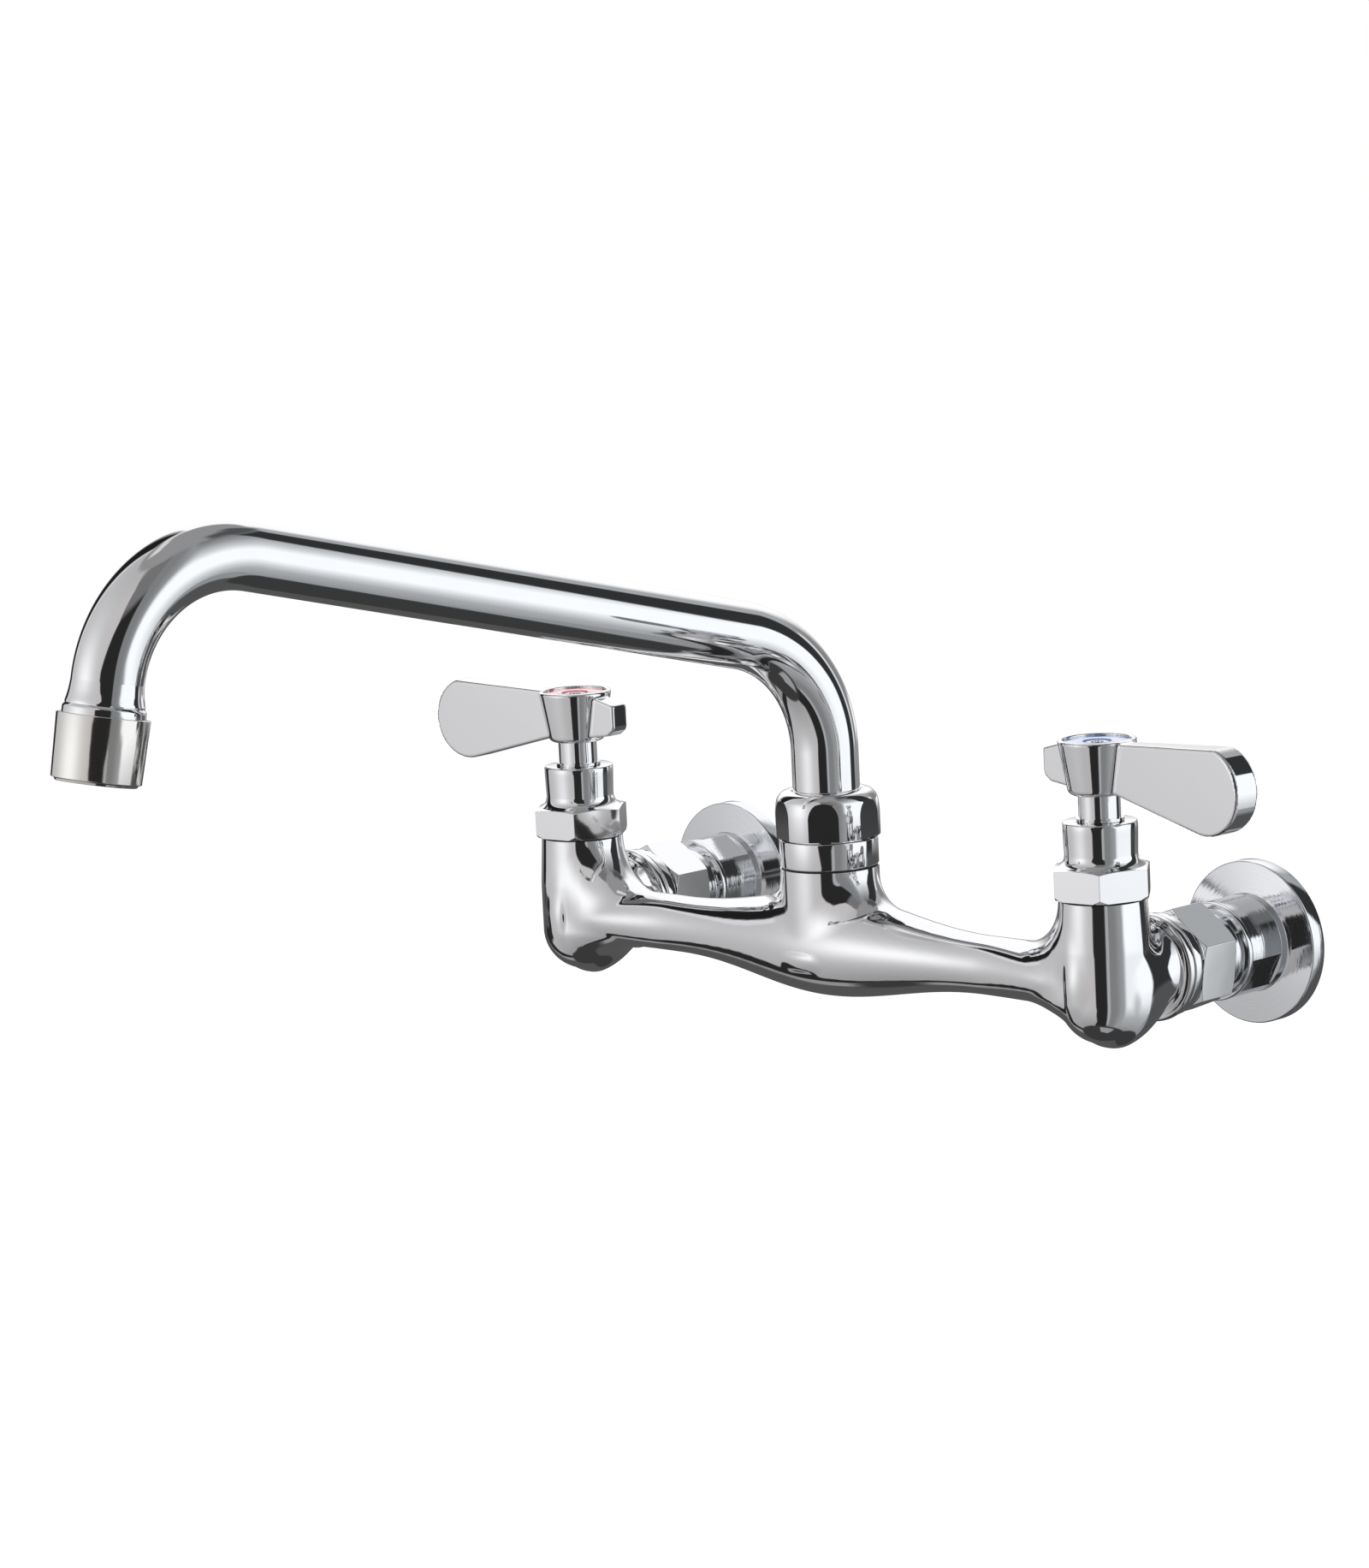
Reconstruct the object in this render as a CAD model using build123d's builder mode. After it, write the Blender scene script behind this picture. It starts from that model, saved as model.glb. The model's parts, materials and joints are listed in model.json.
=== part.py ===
from build123d import *
import os
from math import cos, radians, sin

# Wall-mounted two-handle kitchen faucet with a swing spout, in millimetres.
# The origin lies on the wall, midway between the two inlets, at the height of the inlet axes.
# +X runs to the right as one faces the wall, +Y runs into the wall and +Z runs up.

os.makedirs("parts", exist_ok=True)

# ---------------------------------------------------------------- driving dimensions
inlet_spacing = 203.2  # between the two inlet axes
wall_offset = 65.5  # from the wall to the row of valve axes
fit_gap = 0.3  # between neighbouring round faces that don't carry each other
turn_fit = 0.06  # radial clearance of a shaft that turns in its bore
thread_fit = 0.05  # radial clearance of a screwed joint
seat_gap = 0.05  # radial clearance of a piece pushed into its seat

# cast body
bar_drop = 0.6  # the cross bar's axis lies this far below the inlet axes
bar_r = 8.2
hub_swell_proud = 0.5  # the bar's swell under the hub stands this far out from it
hub_swell_length = 60.0
hub_swell_hold = 20.0  # how long the swell stays full
neck_swell_hold = 25.0  # how long the bar stays slim before it swells
body_top = 22.0  # height of the hub's and the bosses' machined faces
hub_r = 14.0
hub_blend = 6.0
boss_top_r = 12.0
boss_r = 12.8
boss_taper_z = 8.7
boss_bottom = -17.7
boss_foot_flat = 0.6  # radius of the flat in the middle of the rounded foot
bar_blend = 16.0
arm_blend = 6.0
arm_start = 0.0  # distances along an arm are counted from the valve axis
arm_inset = 0.9  # an arm starts this much slimmer than its boss
arm_lift = 0.3  # and this far above the boss's foot
arm_end = 17.6
arm_end_r = 12.6
arm_bore_end = 11.5
bead_end = 20.8
bead_r = 14.9
collar_r = 14.3
collar_end = 24.4
collar_round = 0.8
shank_r = 10.6
shank_end = 32.0
water_r = 7.2  # waterway through the arms, nipples and flanges
bar_bore_r = 4.0
mixing_r = 8.0
mixing_floor = -8.0

# valves
seat_z = -3.0
seat_web = 2.0
seat_port_r = 4.6
chamber_r = 6.8
chamber_depth = 8.5
feed_r = 3.0
feed_start = (17.0, -3.5)  # along the arm, height
feed_end_z = -10.9
cartridge_bore_r = 8.8
skirt_z = 9.4
skirt_r = 9.65
cage_r = 7.6
cage_wall = 0.8
cage_lift = 0.4
cage_port_height = 4.2
cage_port_drop = 1.8  # from the cage's top down to its ports
cage_port_width = 7.0
seal_height = 1.6
seal_r = 6.5
fixed_disc_height = 2.5
moving_disc_height = 2.0
foot_height = 2.0
disc_clearance = 0.5
disc_hole = (1.4, 5.0, 35.0)  # inner radius, outer radius, half angle of a disc's window
ear_width = 3.0
ear_reach = 7.3
peg_width = 1.8
peg_height = 1.2
peg_inset = 1.3
spindle_r = 3.2
stem_collar_height = 2.0
washer_height = 0.8
stem_r = 5.7
clip_height = 0.8
clip_proud = 0.9
clip_groove = 0.5
clip_gap = 3.0
stem_wire_r = 0.55
stem_ring_levels = (28.0, 36.0)
gasket_height = 0.6
hex_flats = 25.1
hex_turn = 8.0  # where one corner of each tightened bonnet stands, counted from +X
hex_top = 31.2
hex_chamfer = 1.1
washer_recess_r = 6.9
stem_groove_side = 0.1  # slack on each side of an O-ring in its groove
bonnet_waist_r = 9.85
bonnet_waist_z = (32.4, 34.0)
bonnet_rim_r = 10.15
bonnet_rim_z = 41.0
bonnet_top = 43.3
edge = 0.4  # broken edge on machined pieces
edge_gap = 0.1  # between flat faces that only face each other

# handles
handle_bottom = 50.5
handle_top = 65.5
handle_bottom_r = 8.2
handle_top_r = 10.85
handle_round = 0.8
handle_foot_round = 1.5
lever_turn = 3.3  # how far the photographed levers stand off the row, towards the front
lever_reach = 53.9
lever_end = (41.9, 55.1)  # outwards, height: centre of the blade's round end
lever_end_r = 12.0
lever_top = (64.6, 66.7)  # heights of the upper edge at the valve axis and at the tip
lever_root = (6.0, 51.8)  # outwards, height: where the lower edge starts
lever_root_thickness = 5.4
lever_end_thickness = 8.4
lever_round = 0.7
tail_reach = 17.7
tail_thickness = 6.3
tail_root_bottom = 50.9
tail_foot = (15.2, 52.9)  # backwards, height: where the tail's lower edge ends
tail_heel = (17.3, 54.5)
tail_end = (17.7, 55.6, 62.1)  # backwards, lower and upper height of the end face
tail_brow = (8.5, 64.4)  # backwards, height: where the upper edge leaves the hub
tang_sides = 12
tang_r = 4.4
tang_top = 59.2
recess_r = 9.3
recess_depth = 1.3
index_height = 0.7
screw_head_r = 3.4
screw_head_height = 3.0
screw_head_sink = 0.9
screw_head_gap = 0.5
screw_shank_r = 2.0
screw_length = 10.0
screw_slot_r = 1.5
screw_slot_depth = 1.6

# inlets
nut_start = 25.0
nut_end = 38.6
nut_flats = 26.7
nut_chamfer = 1.5
nut_lip = 3.0
nut_bore_r = 12.05
nut_turns = {"hot": 28.0, "cold": 22.0}  # where the tightened nuts' corners stand
split_ring_height = 1.3
split_ring_depth = 0.6
split_ring_gap = 4.0
inlet_gasket_height = 2.0
flange_r = 22.8
flange_thickness = 4.9
flange_hub_r = 13.7
flange_hub_start = 44.2
flange_neck_r = 12.0
pipe_thread_r = 9.9
pipe_thread_length = 16.5
wrench_flat = 12.7
wrench_flat_inset = 1.6
wrench_flat_end = 2.6
wrench_turns = {"hot": 60.0, "cold": -28.0}  # where the flanges' wrench flats face

# spout
adapter_bottom = 10.0
adapter_shank_r = 9.85
adapter_top = 30.3
adapter_gasket_height = 0.5
spigot_r = 12.6
spigot_top = 38.5
socket_r = 11.4
adapter_bore_r = 7.0
socket_floor = 24.0
sleeve_bottom = 25.0
sleeve_flange_height = 1.5
sleeve_flange_r = 12.3
glide_height = 1.0
spout_nut_r = 14.8
spout_nut_top = 44.0
spout_nut_flats = 28.3
spout_nut_dome = 4.6
spout_nut_turn = 39.0  # where one corner of the tightened nut stands
tube_r = 9.525
tube_wall = 1.2
tube_start = 24.6
spout_heading = 9.0  # where the photographed spout points, towards -X from straight out
riser_top = 55.1
riser_bend_r = 36.7
spout_rise = 13.9
spout_run = 160.0
outlet_bend_r = 36.0
outlet_tilt = 11.8  # how far the outlet leans out from plumb
outlet_length = 9.1
sleeve_ring_levels = (28.0, 33.0)
sleeve_wire_r = 0.55
lip_r = 10.7
lip_height = 2.0
lip_blend = 1.4
outlet_spigot_r = 10.6
outlet_spigot_length = 7.5
outlet_bore_r = 7.2
outlet_socket_depth = 6.0
aerator_top_r = 12.2
aerator_end_r = 11.8
aerator_length = 17.8
aerator_wall = 1.1
aerator_mouth_r = 9.6
aerator_lip = 1.2
screen_height = 1.0
screen_pitch = 2.2
screen_opening = 1.5
screen_rows = 9
insert_holes = ((3.4, 6), (7.4, 12))  # radius of the hole circle, number of holes
insert_hole_r = 1.2
aerator_washer_height = 1.4

# ---------------------------------------------------------------- derived places
valve_x = inlet_spacing / 2
row_y = -wall_offset
bar_z = -bar_drop
hub_swell_r = hub_r + hub_swell_proud
boss_bottom_round = boss_r - boss_foot_flat
arm_start_r = boss_r - arm_inset
arm_start_z = boss_bottom + arm_lift + arm_start_r
sides = {"hot": -valve_x, "cold": valve_x}
outward = {"hot": -1, "cold": 1}  # the way each closed lever points along X
hub_axis = Axis((0, row_y, 0), (0, 0, 1))
bar_axis = Axis((0, row_y, bar_z), (1, 0, 0))

fixed_disc_z = seat_z + seal_height
moving_disc_z = fixed_disc_z + fixed_disc_height
foot_z = moving_disc_z + moving_disc_height
cage_bore_r = cage_r - cage_wall
disc_r = cage_bore_r - disc_clearance
stem_collar_z = skirt_z - edge
washer_z = stem_collar_z + stem_collar_height
bonnet_bore_r = stem_r + turn_fit
bonnet_floor = washer_z + washer_height
hex_bottom = body_top + gasket_height
clip_z = bonnet_top + edge_gap
stem_shoulder = handle_bottom - fit_gap
screw_seat = handle_top - screw_head_sink - screw_head_height
lever_low = lever_end[1] - lever_end_r
split_ring_start = nut_start + nut_lip
split_groove_start = split_ring_start - 2 * edge_gap
split_groove_r = shank_r - split_ring_depth


def level(x, z):
    """Horizontal plane centred on a valve or on the hub, at one height."""
    return Plane(origin=(x, row_y, z), x_dir=(1, 0, 0), z_dir=(0, 0, 1))


def upright(x):
    """Vertical plane through a valve or the hub: radius across, height up."""
    return Plane(origin=(x, row_y, 0), x_dir=(1, 0, 0), z_dir=(0, -1, 0))


def inlet_cut(x, turn=0.0):
    """Plane through an inlet's axis: radius across, distance towards the wall up."""
    across = (cos(radians(turn)), 0, sin(radians(turn)))
    facing = (-sin(radians(turn)), 0, cos(radians(turn)))
    return Plane(origin=(x, row_y, 0), x_dir=across, z_dir=facing)


def inlet_face(x, along):
    """Plane square to an inlet's axis, seen from the valve towards the wall."""
    return Plane(origin=(x, row_y + along, 0), x_dir=(1, 0, 0), z_dir=(0, 1, 0))


def turned(plane, outline, mode=Mode.ADD):
    """Solid of revolution about the plane's own vertical axis."""
    with BuildSketch(plane) as section:
        with BuildLine():
            Polyline(*outline, close=True)
        make_face()
    revolve(section.sketch, axis=Axis(plane.origin, plane.y_dir), mode=mode)


def ring(plane, outer_r, inner_r, height, mode=Mode.ADD):
    """Plain ring that stands on a plane."""
    with BuildSketch(plane) as section:
        Circle(outer_r)
        Circle(inner_r, mode=Mode.SUBTRACT)
    extrude(section.sketch, amount=height, mode=mode)


def disc(plane, r, height, mode=Mode.ADD):
    """Plain disc that stands on a plane, or a round hole cut from it."""
    with BuildSketch(plane) as section:
        Circle(r)
    extrude(section.sketch, amount=height, mode=mode)


def hexagon(plane, across_flats, height, turn=0.0, mode=Mode.ADD):
    """Six-sided prism with a corner at the given angle."""
    with BuildSketch(plane) as section:
        RegularPolygon(across_flats / 2, 6, major_radius=False, rotation=turn)
    extrude(section.sketch, amount=height, mode=mode)


def wire_ring(x, z, centre_r, wire_r):
    """O-ring about a vertical axis."""
    plane = upright(x)
    with BuildSketch(plane) as section:
        with Locations((centre_r, z)):
            Circle(wire_r)
    revolve(section.sketch, axis=Axis(plane.origin, plane.y_dir))


def seams(part, select, from_x, to_x):
    """Curved seams between two surfaces of a casting, lowest first, ready to be blended."""
    plain = (GeomType.LINE, GeomType.CIRCLE)
    found = part.edges(select).filter_by_position(Axis.X, from_x, to_x)
    return [e for e in found.sort_by(Axis.Z) if e.geom_type not in plain]


def save(piece, name):
    """Label a finished piece and write it."""
    piece.label = name
    export_step(piece, f"parts/{name}.step")


# ---------------------------------------------------------------- cast body
with BuildPart() as cross_bar:
    # full under the hub, slim towards the bosses
    with BuildSketch(upright(0)):
        with BuildLine():
            Bezier(
                (0, bar_z + hub_swell_r),
                (hub_swell_hold, bar_z + hub_swell_r),
                (hub_swell_length - neck_swell_hold, bar_z + bar_r),
                (hub_swell_length, bar_z + bar_r),
            )
            Polyline(
                (hub_swell_length, bar_z + bar_r),
                (valve_x, bar_z + bar_r),
                (valve_x, bar_z),
                (0, bar_z),
                (0, bar_z + hub_swell_r),
            )
        make_face()
        mirror(about=Plane.YZ)
    revolve(axis=bar_axis)
    # hub that carries the spout
    disc(level(0, bar_z), hub_r, body_top - bar_z)
    fillet(seams(cross_bar, Select.LAST, -2 * hub_r, 2 * hub_r), hub_blend)

with BuildPart() as valve_boss:
    # rounded foot, tapering a little towards the machined top
    with BuildSketch(upright(valve_x)):
        with BuildLine():
            Polyline((0, bar_z), (0, body_top), (boss_top_r, body_top), (boss_r, boss_taper_z))
            Line((boss_r, boss_taper_z), (boss_r, boss_bottom + boss_bottom_round))
            RadiusArc(
                (boss_r, boss_bottom + boss_bottom_round),
                (boss_r - boss_bottom_round, boss_bottom),
                boss_bottom_round,
            )
            Polyline((boss_r - boss_bottom_round, boss_bottom), (0, boss_bottom), (0, bar_z))
        make_face()
    revolve(axis=Axis((valve_x, row_y, 0), (0, 0, 1)))

with BuildPart() as inlet_arm:
    # it leaves the foot of the boss and follows it up to the inlet
    add(valve_boss.part)
    with BuildSketch(inlet_face(valve_x, arm_start)) as arm_foot:
        with Locations((0, -arm_start_z)):
            Circle(arm_start_r)
    with BuildSketch(inlet_face(valve_x, arm_end)) as arm_mouth:
        Circle(arm_end_r)
    loft([arm_foot.sketch.face(), arm_mouth.sketch.face()])
    fillet(seams(inlet_arm, Select.ALL, valve_x - 2 * boss_r, valve_x + 2 * boss_r), arm_blend)

with BuildPart() as faucet_body:
    # the bar runs into the boss, and the arm leaves it towards the wall
    add(valve_boss.part)
    add(cross_bar.part)
    fillet(seams(faucet_body, Select.LAST, valve_x - boss_r - bar_blend, valve_x), bar_blend)
    add(inlet_arm.part)

    # collar: a round bead, then a plain ring, then the shank that carries the union nut
    bead_centre = (arm_end + bead_end) / 2
    bead_height = (bead_end - arm_end) / 2
    with BuildSketch(inlet_cut(valve_x)):
        with BuildLine():
            Polyline((0, arm_end), (bead_r - bead_height, arm_end))
            ThreePointArc(
                (bead_r - bead_height, arm_end),
                (bead_r, bead_centre),
                (bead_r - bead_height, bead_end),
            )
            Polyline(
                (bead_r - bead_height, bead_end),
                (collar_r - collar_round, bead_end),
                (collar_r, bead_end + collar_round),
                (collar_r, collar_end - collar_round),
                (collar_r - collar_round, collar_end),
                (shank_r, collar_end),
                (shank_r, split_groove_start),
                (split_groove_r, split_groove_start),
                (split_groove_r, split_ring_start + split_ring_height),
                (shank_r, split_ring_start + split_ring_height),
                (shank_r, shank_end - edge),
                (shank_r - edge, shank_end),
                (0, shank_end),
                (0, arm_end),
            )
        make_face()
    revolve(axis=Axis((valve_x, row_y, 0), (0, 1, 0)))

    # the other side is its mirror image
    split(bisect_by=Plane.YZ, keep=Keep.TOP)
    mirror(about=Plane.YZ)

    # bores: mixing chamber and spout thread in the hub, cross bore in the bar
    disc(level(0, mixing_floor), mixing_r, body_top - mixing_floor, mode=Mode.SUBTRACT)
    disc(level(0, adapter_bottom), adapter_shank_r + thread_fit, body_top, mode=Mode.SUBTRACT)
    with BuildSketch(Plane(origin=(-valve_x + cage_r, row_y, bar_z), z_dir=(1, 0, 0))):
        Circle(bar_bore_r)
    extrude(amount=inlet_spacing - 2 * cage_r, mode=Mode.SUBTRACT)

    for x in sides.values():
        # valve bore, its seat, the chamber below and the thread for the bonnet
        disc(level(x, skirt_z), skirt_r + thread_fit, body_top, mode=Mode.SUBTRACT)
        disc(level(x, seat_z), cartridge_bore_r, body_top, mode=Mode.SUBTRACT)
        disc(level(x, seat_z - seat_web), seat_port_r, body_top, mode=Mode.SUBTRACT)
        chamber_floor = seat_z - seat_web - chamber_depth
        disc(level(x, chamber_floor), chamber_r, chamber_depth, mode=Mode.SUBTRACT)
        # waterway along the arm, and the slanted feed down into the chamber
        disc(inlet_face(x, arm_bore_end), water_r, shank_end, mode=Mode.SUBTRACT)
        feed_fall = Vector(0, -feed_start[0], feed_end_z - feed_start[1])
        feed_plane = Plane(origin=(x, row_y + feed_start[0], feed_start[1]), z_dir=feed_fall)
        disc(feed_plane, feed_r, feed_fall.length, mode=Mode.SUBTRACT)
save(faucet_body.part, "faucet_body")

# ---------------------------------------------------------------- valves


def windows(plane, turn, height):
    """Two opposite sector openings through a disc."""
    inner_r, outer_r, half = disc_hole
    with BuildSketch(plane) as section:
        for middle in (turn, turn + 180):
            with BuildLine():
                inner = CenterArc((0, 0), inner_r, middle - half, 2 * half)
                outer = CenterArc((0, 0), outer_r, middle - half, 2 * half)
                Line(inner @ 0, outer @ 0)
                Line(inner @ 1, outer @ 1)
            make_face()
    extrude(section.sketch, amount=height, mode=Mode.SUBTRACT)


def block(plane, across, along, height, turn=0.0, mode=Mode.ADD):
    """Rectangular block that stands centred on a plane."""
    with BuildSketch(plane) as section:
        Rectangle(across, along, rotation=turn)
    extrude(section.sketch, amount=height, mode=mode)


hex_corner_r = hex_flats / 2 / cos(radians(30))
cage_bottom = seat_z + cage_lift
cage_port_z = skirt_z - cage_port_drop - cage_port_height

for side, x in sides.items():
    way = outward[side]
    tang_turn = -way * lever_turn

    with BuildPart() as bonnet:
        hexagon(level(x, hex_bottom), hex_flats, hex_top - hex_bottom, turn=hex_turn)
        turned(
            upright(x),
            [
                (0, hex_bottom),
                (hex_corner_r - hex_chamfer, hex_bottom),
                (hex_corner_r, hex_bottom + hex_chamfer),
                (hex_corner_r, hex_top - hex_chamfer / 2),
                (hex_corner_r - 2 * hex_chamfer, hex_top),
                (0, hex_top),
            ],
            mode=Mode.INTERSECT,
        )
        turned(
            upright(x),
            [
                (0, skirt_z),
                (skirt_r - edge, skirt_z),
                (skirt_r, skirt_z + edge),
                (skirt_r, hex_bottom),
                (0, hex_bottom),
            ],
        )
        with BuildSketch(upright(x)) as neck:
            with BuildLine():
                Polyline((0, hex_top), (hex_flats / 2 - edge, hex_top))
                Bezier(
                    (hex_flats / 2 - edge, hex_top),
                    (bonnet_waist_r, hex_top + edge),
                    (bonnet_waist_r, bonnet_waist_z[0]),
                    (bonnet_waist_r, bonnet_waist_z[1]),
                )
                Polyline(
                    (bonnet_waist_r, bonnet_waist_z[1]),
                    (bonnet_rim_r, bonnet_rim_z),
                    (bonnet_rim_r, bonnet_top - edge),
                    (bonnet_rim_r - edge, bonnet_top),
                    (0, bonnet_top),
                    (0, hex_top),
                )
            make_face()
        revolve(neck.sketch, axis=Axis((x, row_y, 0), (0, 0, 1)))
        disc(level(x, skirt_z), washer_recess_r, bonnet_floor - skirt_z, mode=Mode.SUBTRACT)
        disc(level(x, skirt_z), bonnet_bore_r, bonnet_top, mode=Mode.SUBTRACT)
    save(bonnet.part, f"{side}_bonnet")

    with BuildPart() as bonnet_gasket:
        ring(level(x, body_top), boss_top_r - edge, skirt_r + seat_gap, gasket_height)
    save(bonnet_gasket.part, f"{side}_bonnet_gasket")

    with BuildPart() as cage:
        ring(level(x, cage_bottom), cage_r, cage_bore_r, skirt_z - cage_bottom)
        # side ports, and slots that stop the fixed disc from turning
        block(level(x, cage_port_z), 3 * cage_r, cage_port_width, cage_port_height, mode=Mode.SUBTRACT)
        slot_width = ear_width + 2 * thread_fit
        slot_height = moving_disc_z - cage_bottom
        block(level(x, cage_bottom), 3 * cage_r, slot_width, slot_height, mode=Mode.SUBTRACT)
    save(cage.part, f"{side}_cartridge_cage")

    with BuildPart() as seat_seal:
        ring(level(x, seat_z), seal_r, seat_port_r, seal_height)
    save(seat_seal.part, f"{side}_seat_seal")

    with BuildPart() as fixed_disc:
        disc(level(x, fixed_disc_z), disc_r, fixed_disc_height)
        block(level(x, fixed_disc_z), 2 * ear_reach, ear_width, fixed_disc_height)
        windows(level(x, fixed_disc_z), 90, fixed_disc_height)
    save(fixed_disc.part, f"{side}_fixed_disc")

    with BuildPart() as moving_disc:
        disc(level(x, moving_disc_z), disc_r, moving_disc_height)
        windows(level(x, moving_disc_z), 0, moving_disc_height)
        # notches for the stem's pegs
        notch_plane = level(x, foot_z - peg_height - edge_gap)
        notch_width = peg_width + 2 * seat_gap
        block(notch_plane, notch_width, 3 * disc_r, foot_z, mode=Mode.SUBTRACT)
        ring_core = disc_r - peg_inset - seat_gap
        disc(notch_plane, ring_core, peg_height + edge_gap)
        windows(level(x, moving_disc_z), 0, moving_disc_height)
    save(moving_disc.part, f"{side}_moving_disc")

    with BuildPart() as stem:
        # foot with the pegs that turn the moving disc
        block(level(x, foot_z - peg_height), peg_width, 2 * disc_r, peg_height)
        disc(level(x, foot_z - peg_height), disc_r - peg_inset, peg_height, mode=Mode.SUBTRACT)
        disc(level(x, foot_z), disc_r, foot_height)
        windows(level(x, foot_z), 0, foot_height)
        disc(level(x, foot_z + foot_height), spindle_r, stem_collar_z - foot_z - foot_height)
        disc(level(x, stem_collar_z), disc_r, stem_collar_height)
        disc(level(x, washer_z), stem_r, stem_shoulder - washer_z)
        with BuildSketch(level(x, stem_shoulder)) as tang:
            RegularPolygon(tang_r, tang_sides, rotation=tang_turn)
        extrude(tang.sketch, amount=tang_top - stem_shoulder)
        # grooves for the O-rings and the clip, and the thread for the handle screw
        for z in stem_ring_levels:
            groove = 2 * (stem_wire_r + stem_groove_side)
            low = level(x, z - groove / 2)
            ring(low, hub_r, bonnet_bore_r - turn_fit - 2 * stem_wire_r, groove, mode=Mode.SUBTRACT)
        clip_groove_height = clip_height + edge_gap
        ring(level(x, clip_z), hub_r, stem_r - clip_groove, clip_groove_height, mode=Mode.SUBTRACT)
        thread_top = level(x, tang_top - screw_length)
        disc(thread_top, screw_shank_r + thread_fit, screw_length, mode=Mode.SUBTRACT)
    save(stem.part, f"{side}_stem")

    with BuildPart() as stem_o_rings:
        for z in stem_ring_levels:
            wire_ring(x, z, stem_r - stem_wire_r, stem_wire_r)
    save(stem_o_rings.part, f"{side}_stem_o_rings")

    with BuildPart() as thrust_washer:
        ring(level(x, washer_z), washer_recess_r - turn_fit, stem_r + fit_gap, washer_height)
    save(thrust_washer.part, f"{side}_thrust_washer")

    with BuildPart() as clip:
        ring(level(x, clip_z), stem_r + clip_proud, stem_r - clip_groove + seat_gap, clip_height)
        with Locations((x, row_y - stem_r, clip_z + clip_height / 2)):
            Box(clip_gap, stem_r, clip_height, mode=Mode.SUBTRACT)
    save(clip.part, f"{side}_stem_clip")

    # ------------------------------------------------------------ handle
    along_lever = (cos(radians(lever_turn)), -way * sin(radians(lever_turn)), 0)
    blade_facing = Vector(along_lever).cross(Vector(0, 0, 1))
    blade_side = Plane(origin=(x, row_y, 0), x_dir=along_lever, z_dir=blade_facing)
    with BuildPart() as lever:
        # blade seen from the side: a straight root that runs into a round end, with a straight top
        with BuildSketch(blade_side) as blade:
            with BuildLine() as rim:
                Line((way * lever_root[0], lever_root[1]), (way * lever_root[0], lever_top[0]))
                CenterArc((way * lever_end[0], lever_end[1]), lever_end_r, 0, 360)
            make_hull(rim.edges())
            Polygon(
                (0, lever_low),
                (way * lever_reach, lever_low),
                (way * lever_reach, lever_top[1]),
                (0, lever_top[0]),
                align=None,
                mode=Mode.INTERSECT,
            )
        extrude(blade.sketch, amount=lever_end_thickness, both=True)
        # blade seen from above: thin at the root, thicker at the end
        with BuildSketch(Plane(origin=(x, row_y, lever_low), x_dir=along_lever)) as wedge:
            Polygon(
                (0, -lever_root_thickness / 2),
                (way * lever_reach, -lever_end_thickness / 2),
                (way * lever_reach, lever_end_thickness / 2),
                (0, lever_root_thickness / 2),
                align=None,
            )
        extrude(wedge.sketch, amount=lever_top[1], mode=Mode.INTERSECT)
        blade_rim = [e for e in lever.edges() if way * (e.center().X - x) > lever_root[0] + edge]
        fillet(blade_rim, lever_round)
        # short tail on the other side
        with BuildSketch(blade_side) as tail:
            Polygon(
                (0, tail_root_bottom),
                (-way * tail_foot[0], tail_foot[1]),
                (-way * tail_heel[0], tail_heel[1]),
                (-way * tail_end[0], tail_end[1]),
                (-way * tail_end[0], tail_end[2]),
                (-way * tail_brow[0], tail_brow[1]),
                (0, tail_brow[1]),
                align=None,
            )
        extrude(tail.sketch, amount=tail_thickness / 2, both=True)
        with BuildSketch(upright(x)) as cone:
            with BuildLine():
                Line((0, handle_bottom), (handle_bottom_r - handle_foot_round, handle_bottom))
                Bezier(
                    (handle_bottom_r - handle_foot_round, handle_bottom),
                    (handle_bottom_r, handle_bottom),
                    (handle_bottom_r + edge / 2, handle_bottom + handle_foot_round),
                )
                Polyline(
                    (handle_bottom_r + edge / 2, handle_bottom + handle_foot_round),
                    (handle_top_r, handle_top - handle_round),
                    (handle_top_r - handle_round, handle_top),
                    (0, handle_top),
                    (0, handle_bottom),
                )
            make_face()
        revolve(cone.sketch, axis=Axis((x, row_y, 0), (0, 0, 1)))
        # recess for the index ring, seat for the screw head, socket for the stem
        floor = handle_top - recess_depth
        disc(level(x, floor), recess_r, lever_top[1], mode=Mode.SUBTRACT)
        disc(level(x, screw_seat), screw_head_r + fit_gap, lever_top[1], mode=Mode.SUBTRACT)
        disc(level(x, handle_bottom), screw_shank_r + fit_gap, lever_top[1], mode=Mode.SUBTRACT)
        with BuildSketch(level(x, handle_bottom)) as socket:
            RegularPolygon(tang_r + seat_gap, tang_sides, rotation=tang_turn)
        extrude(socket.sketch, amount=tang_top - handle_bottom, mode=Mode.SUBTRACT)
    save(lever.part, f"{side}_lever_handle")

    with BuildPart() as handle_screw:
        disc(level(x, screw_seat), screw_head_r, screw_head_height)
        shank_bottom = level(x, tang_top - screw_length + edge)
        disc(shank_bottom, screw_shank_r, screw_seat - tang_top + screw_length - edge)
        slot_plane = level(x, screw_seat + screw_head_height - screw_slot_depth)
        hexagon(slot_plane, 2 * screw_slot_r, screw_slot_depth, mode=Mode.SUBTRACT)
    save(handle_screw.part, f"{side}_handle_screw")

    with BuildPart() as index_ring:
        ring(level(x, floor), recess_r - fit_gap / 2, screw_head_r + screw_head_gap, index_height)
    save(index_ring.part, f"{side}_index_ring")

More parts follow.
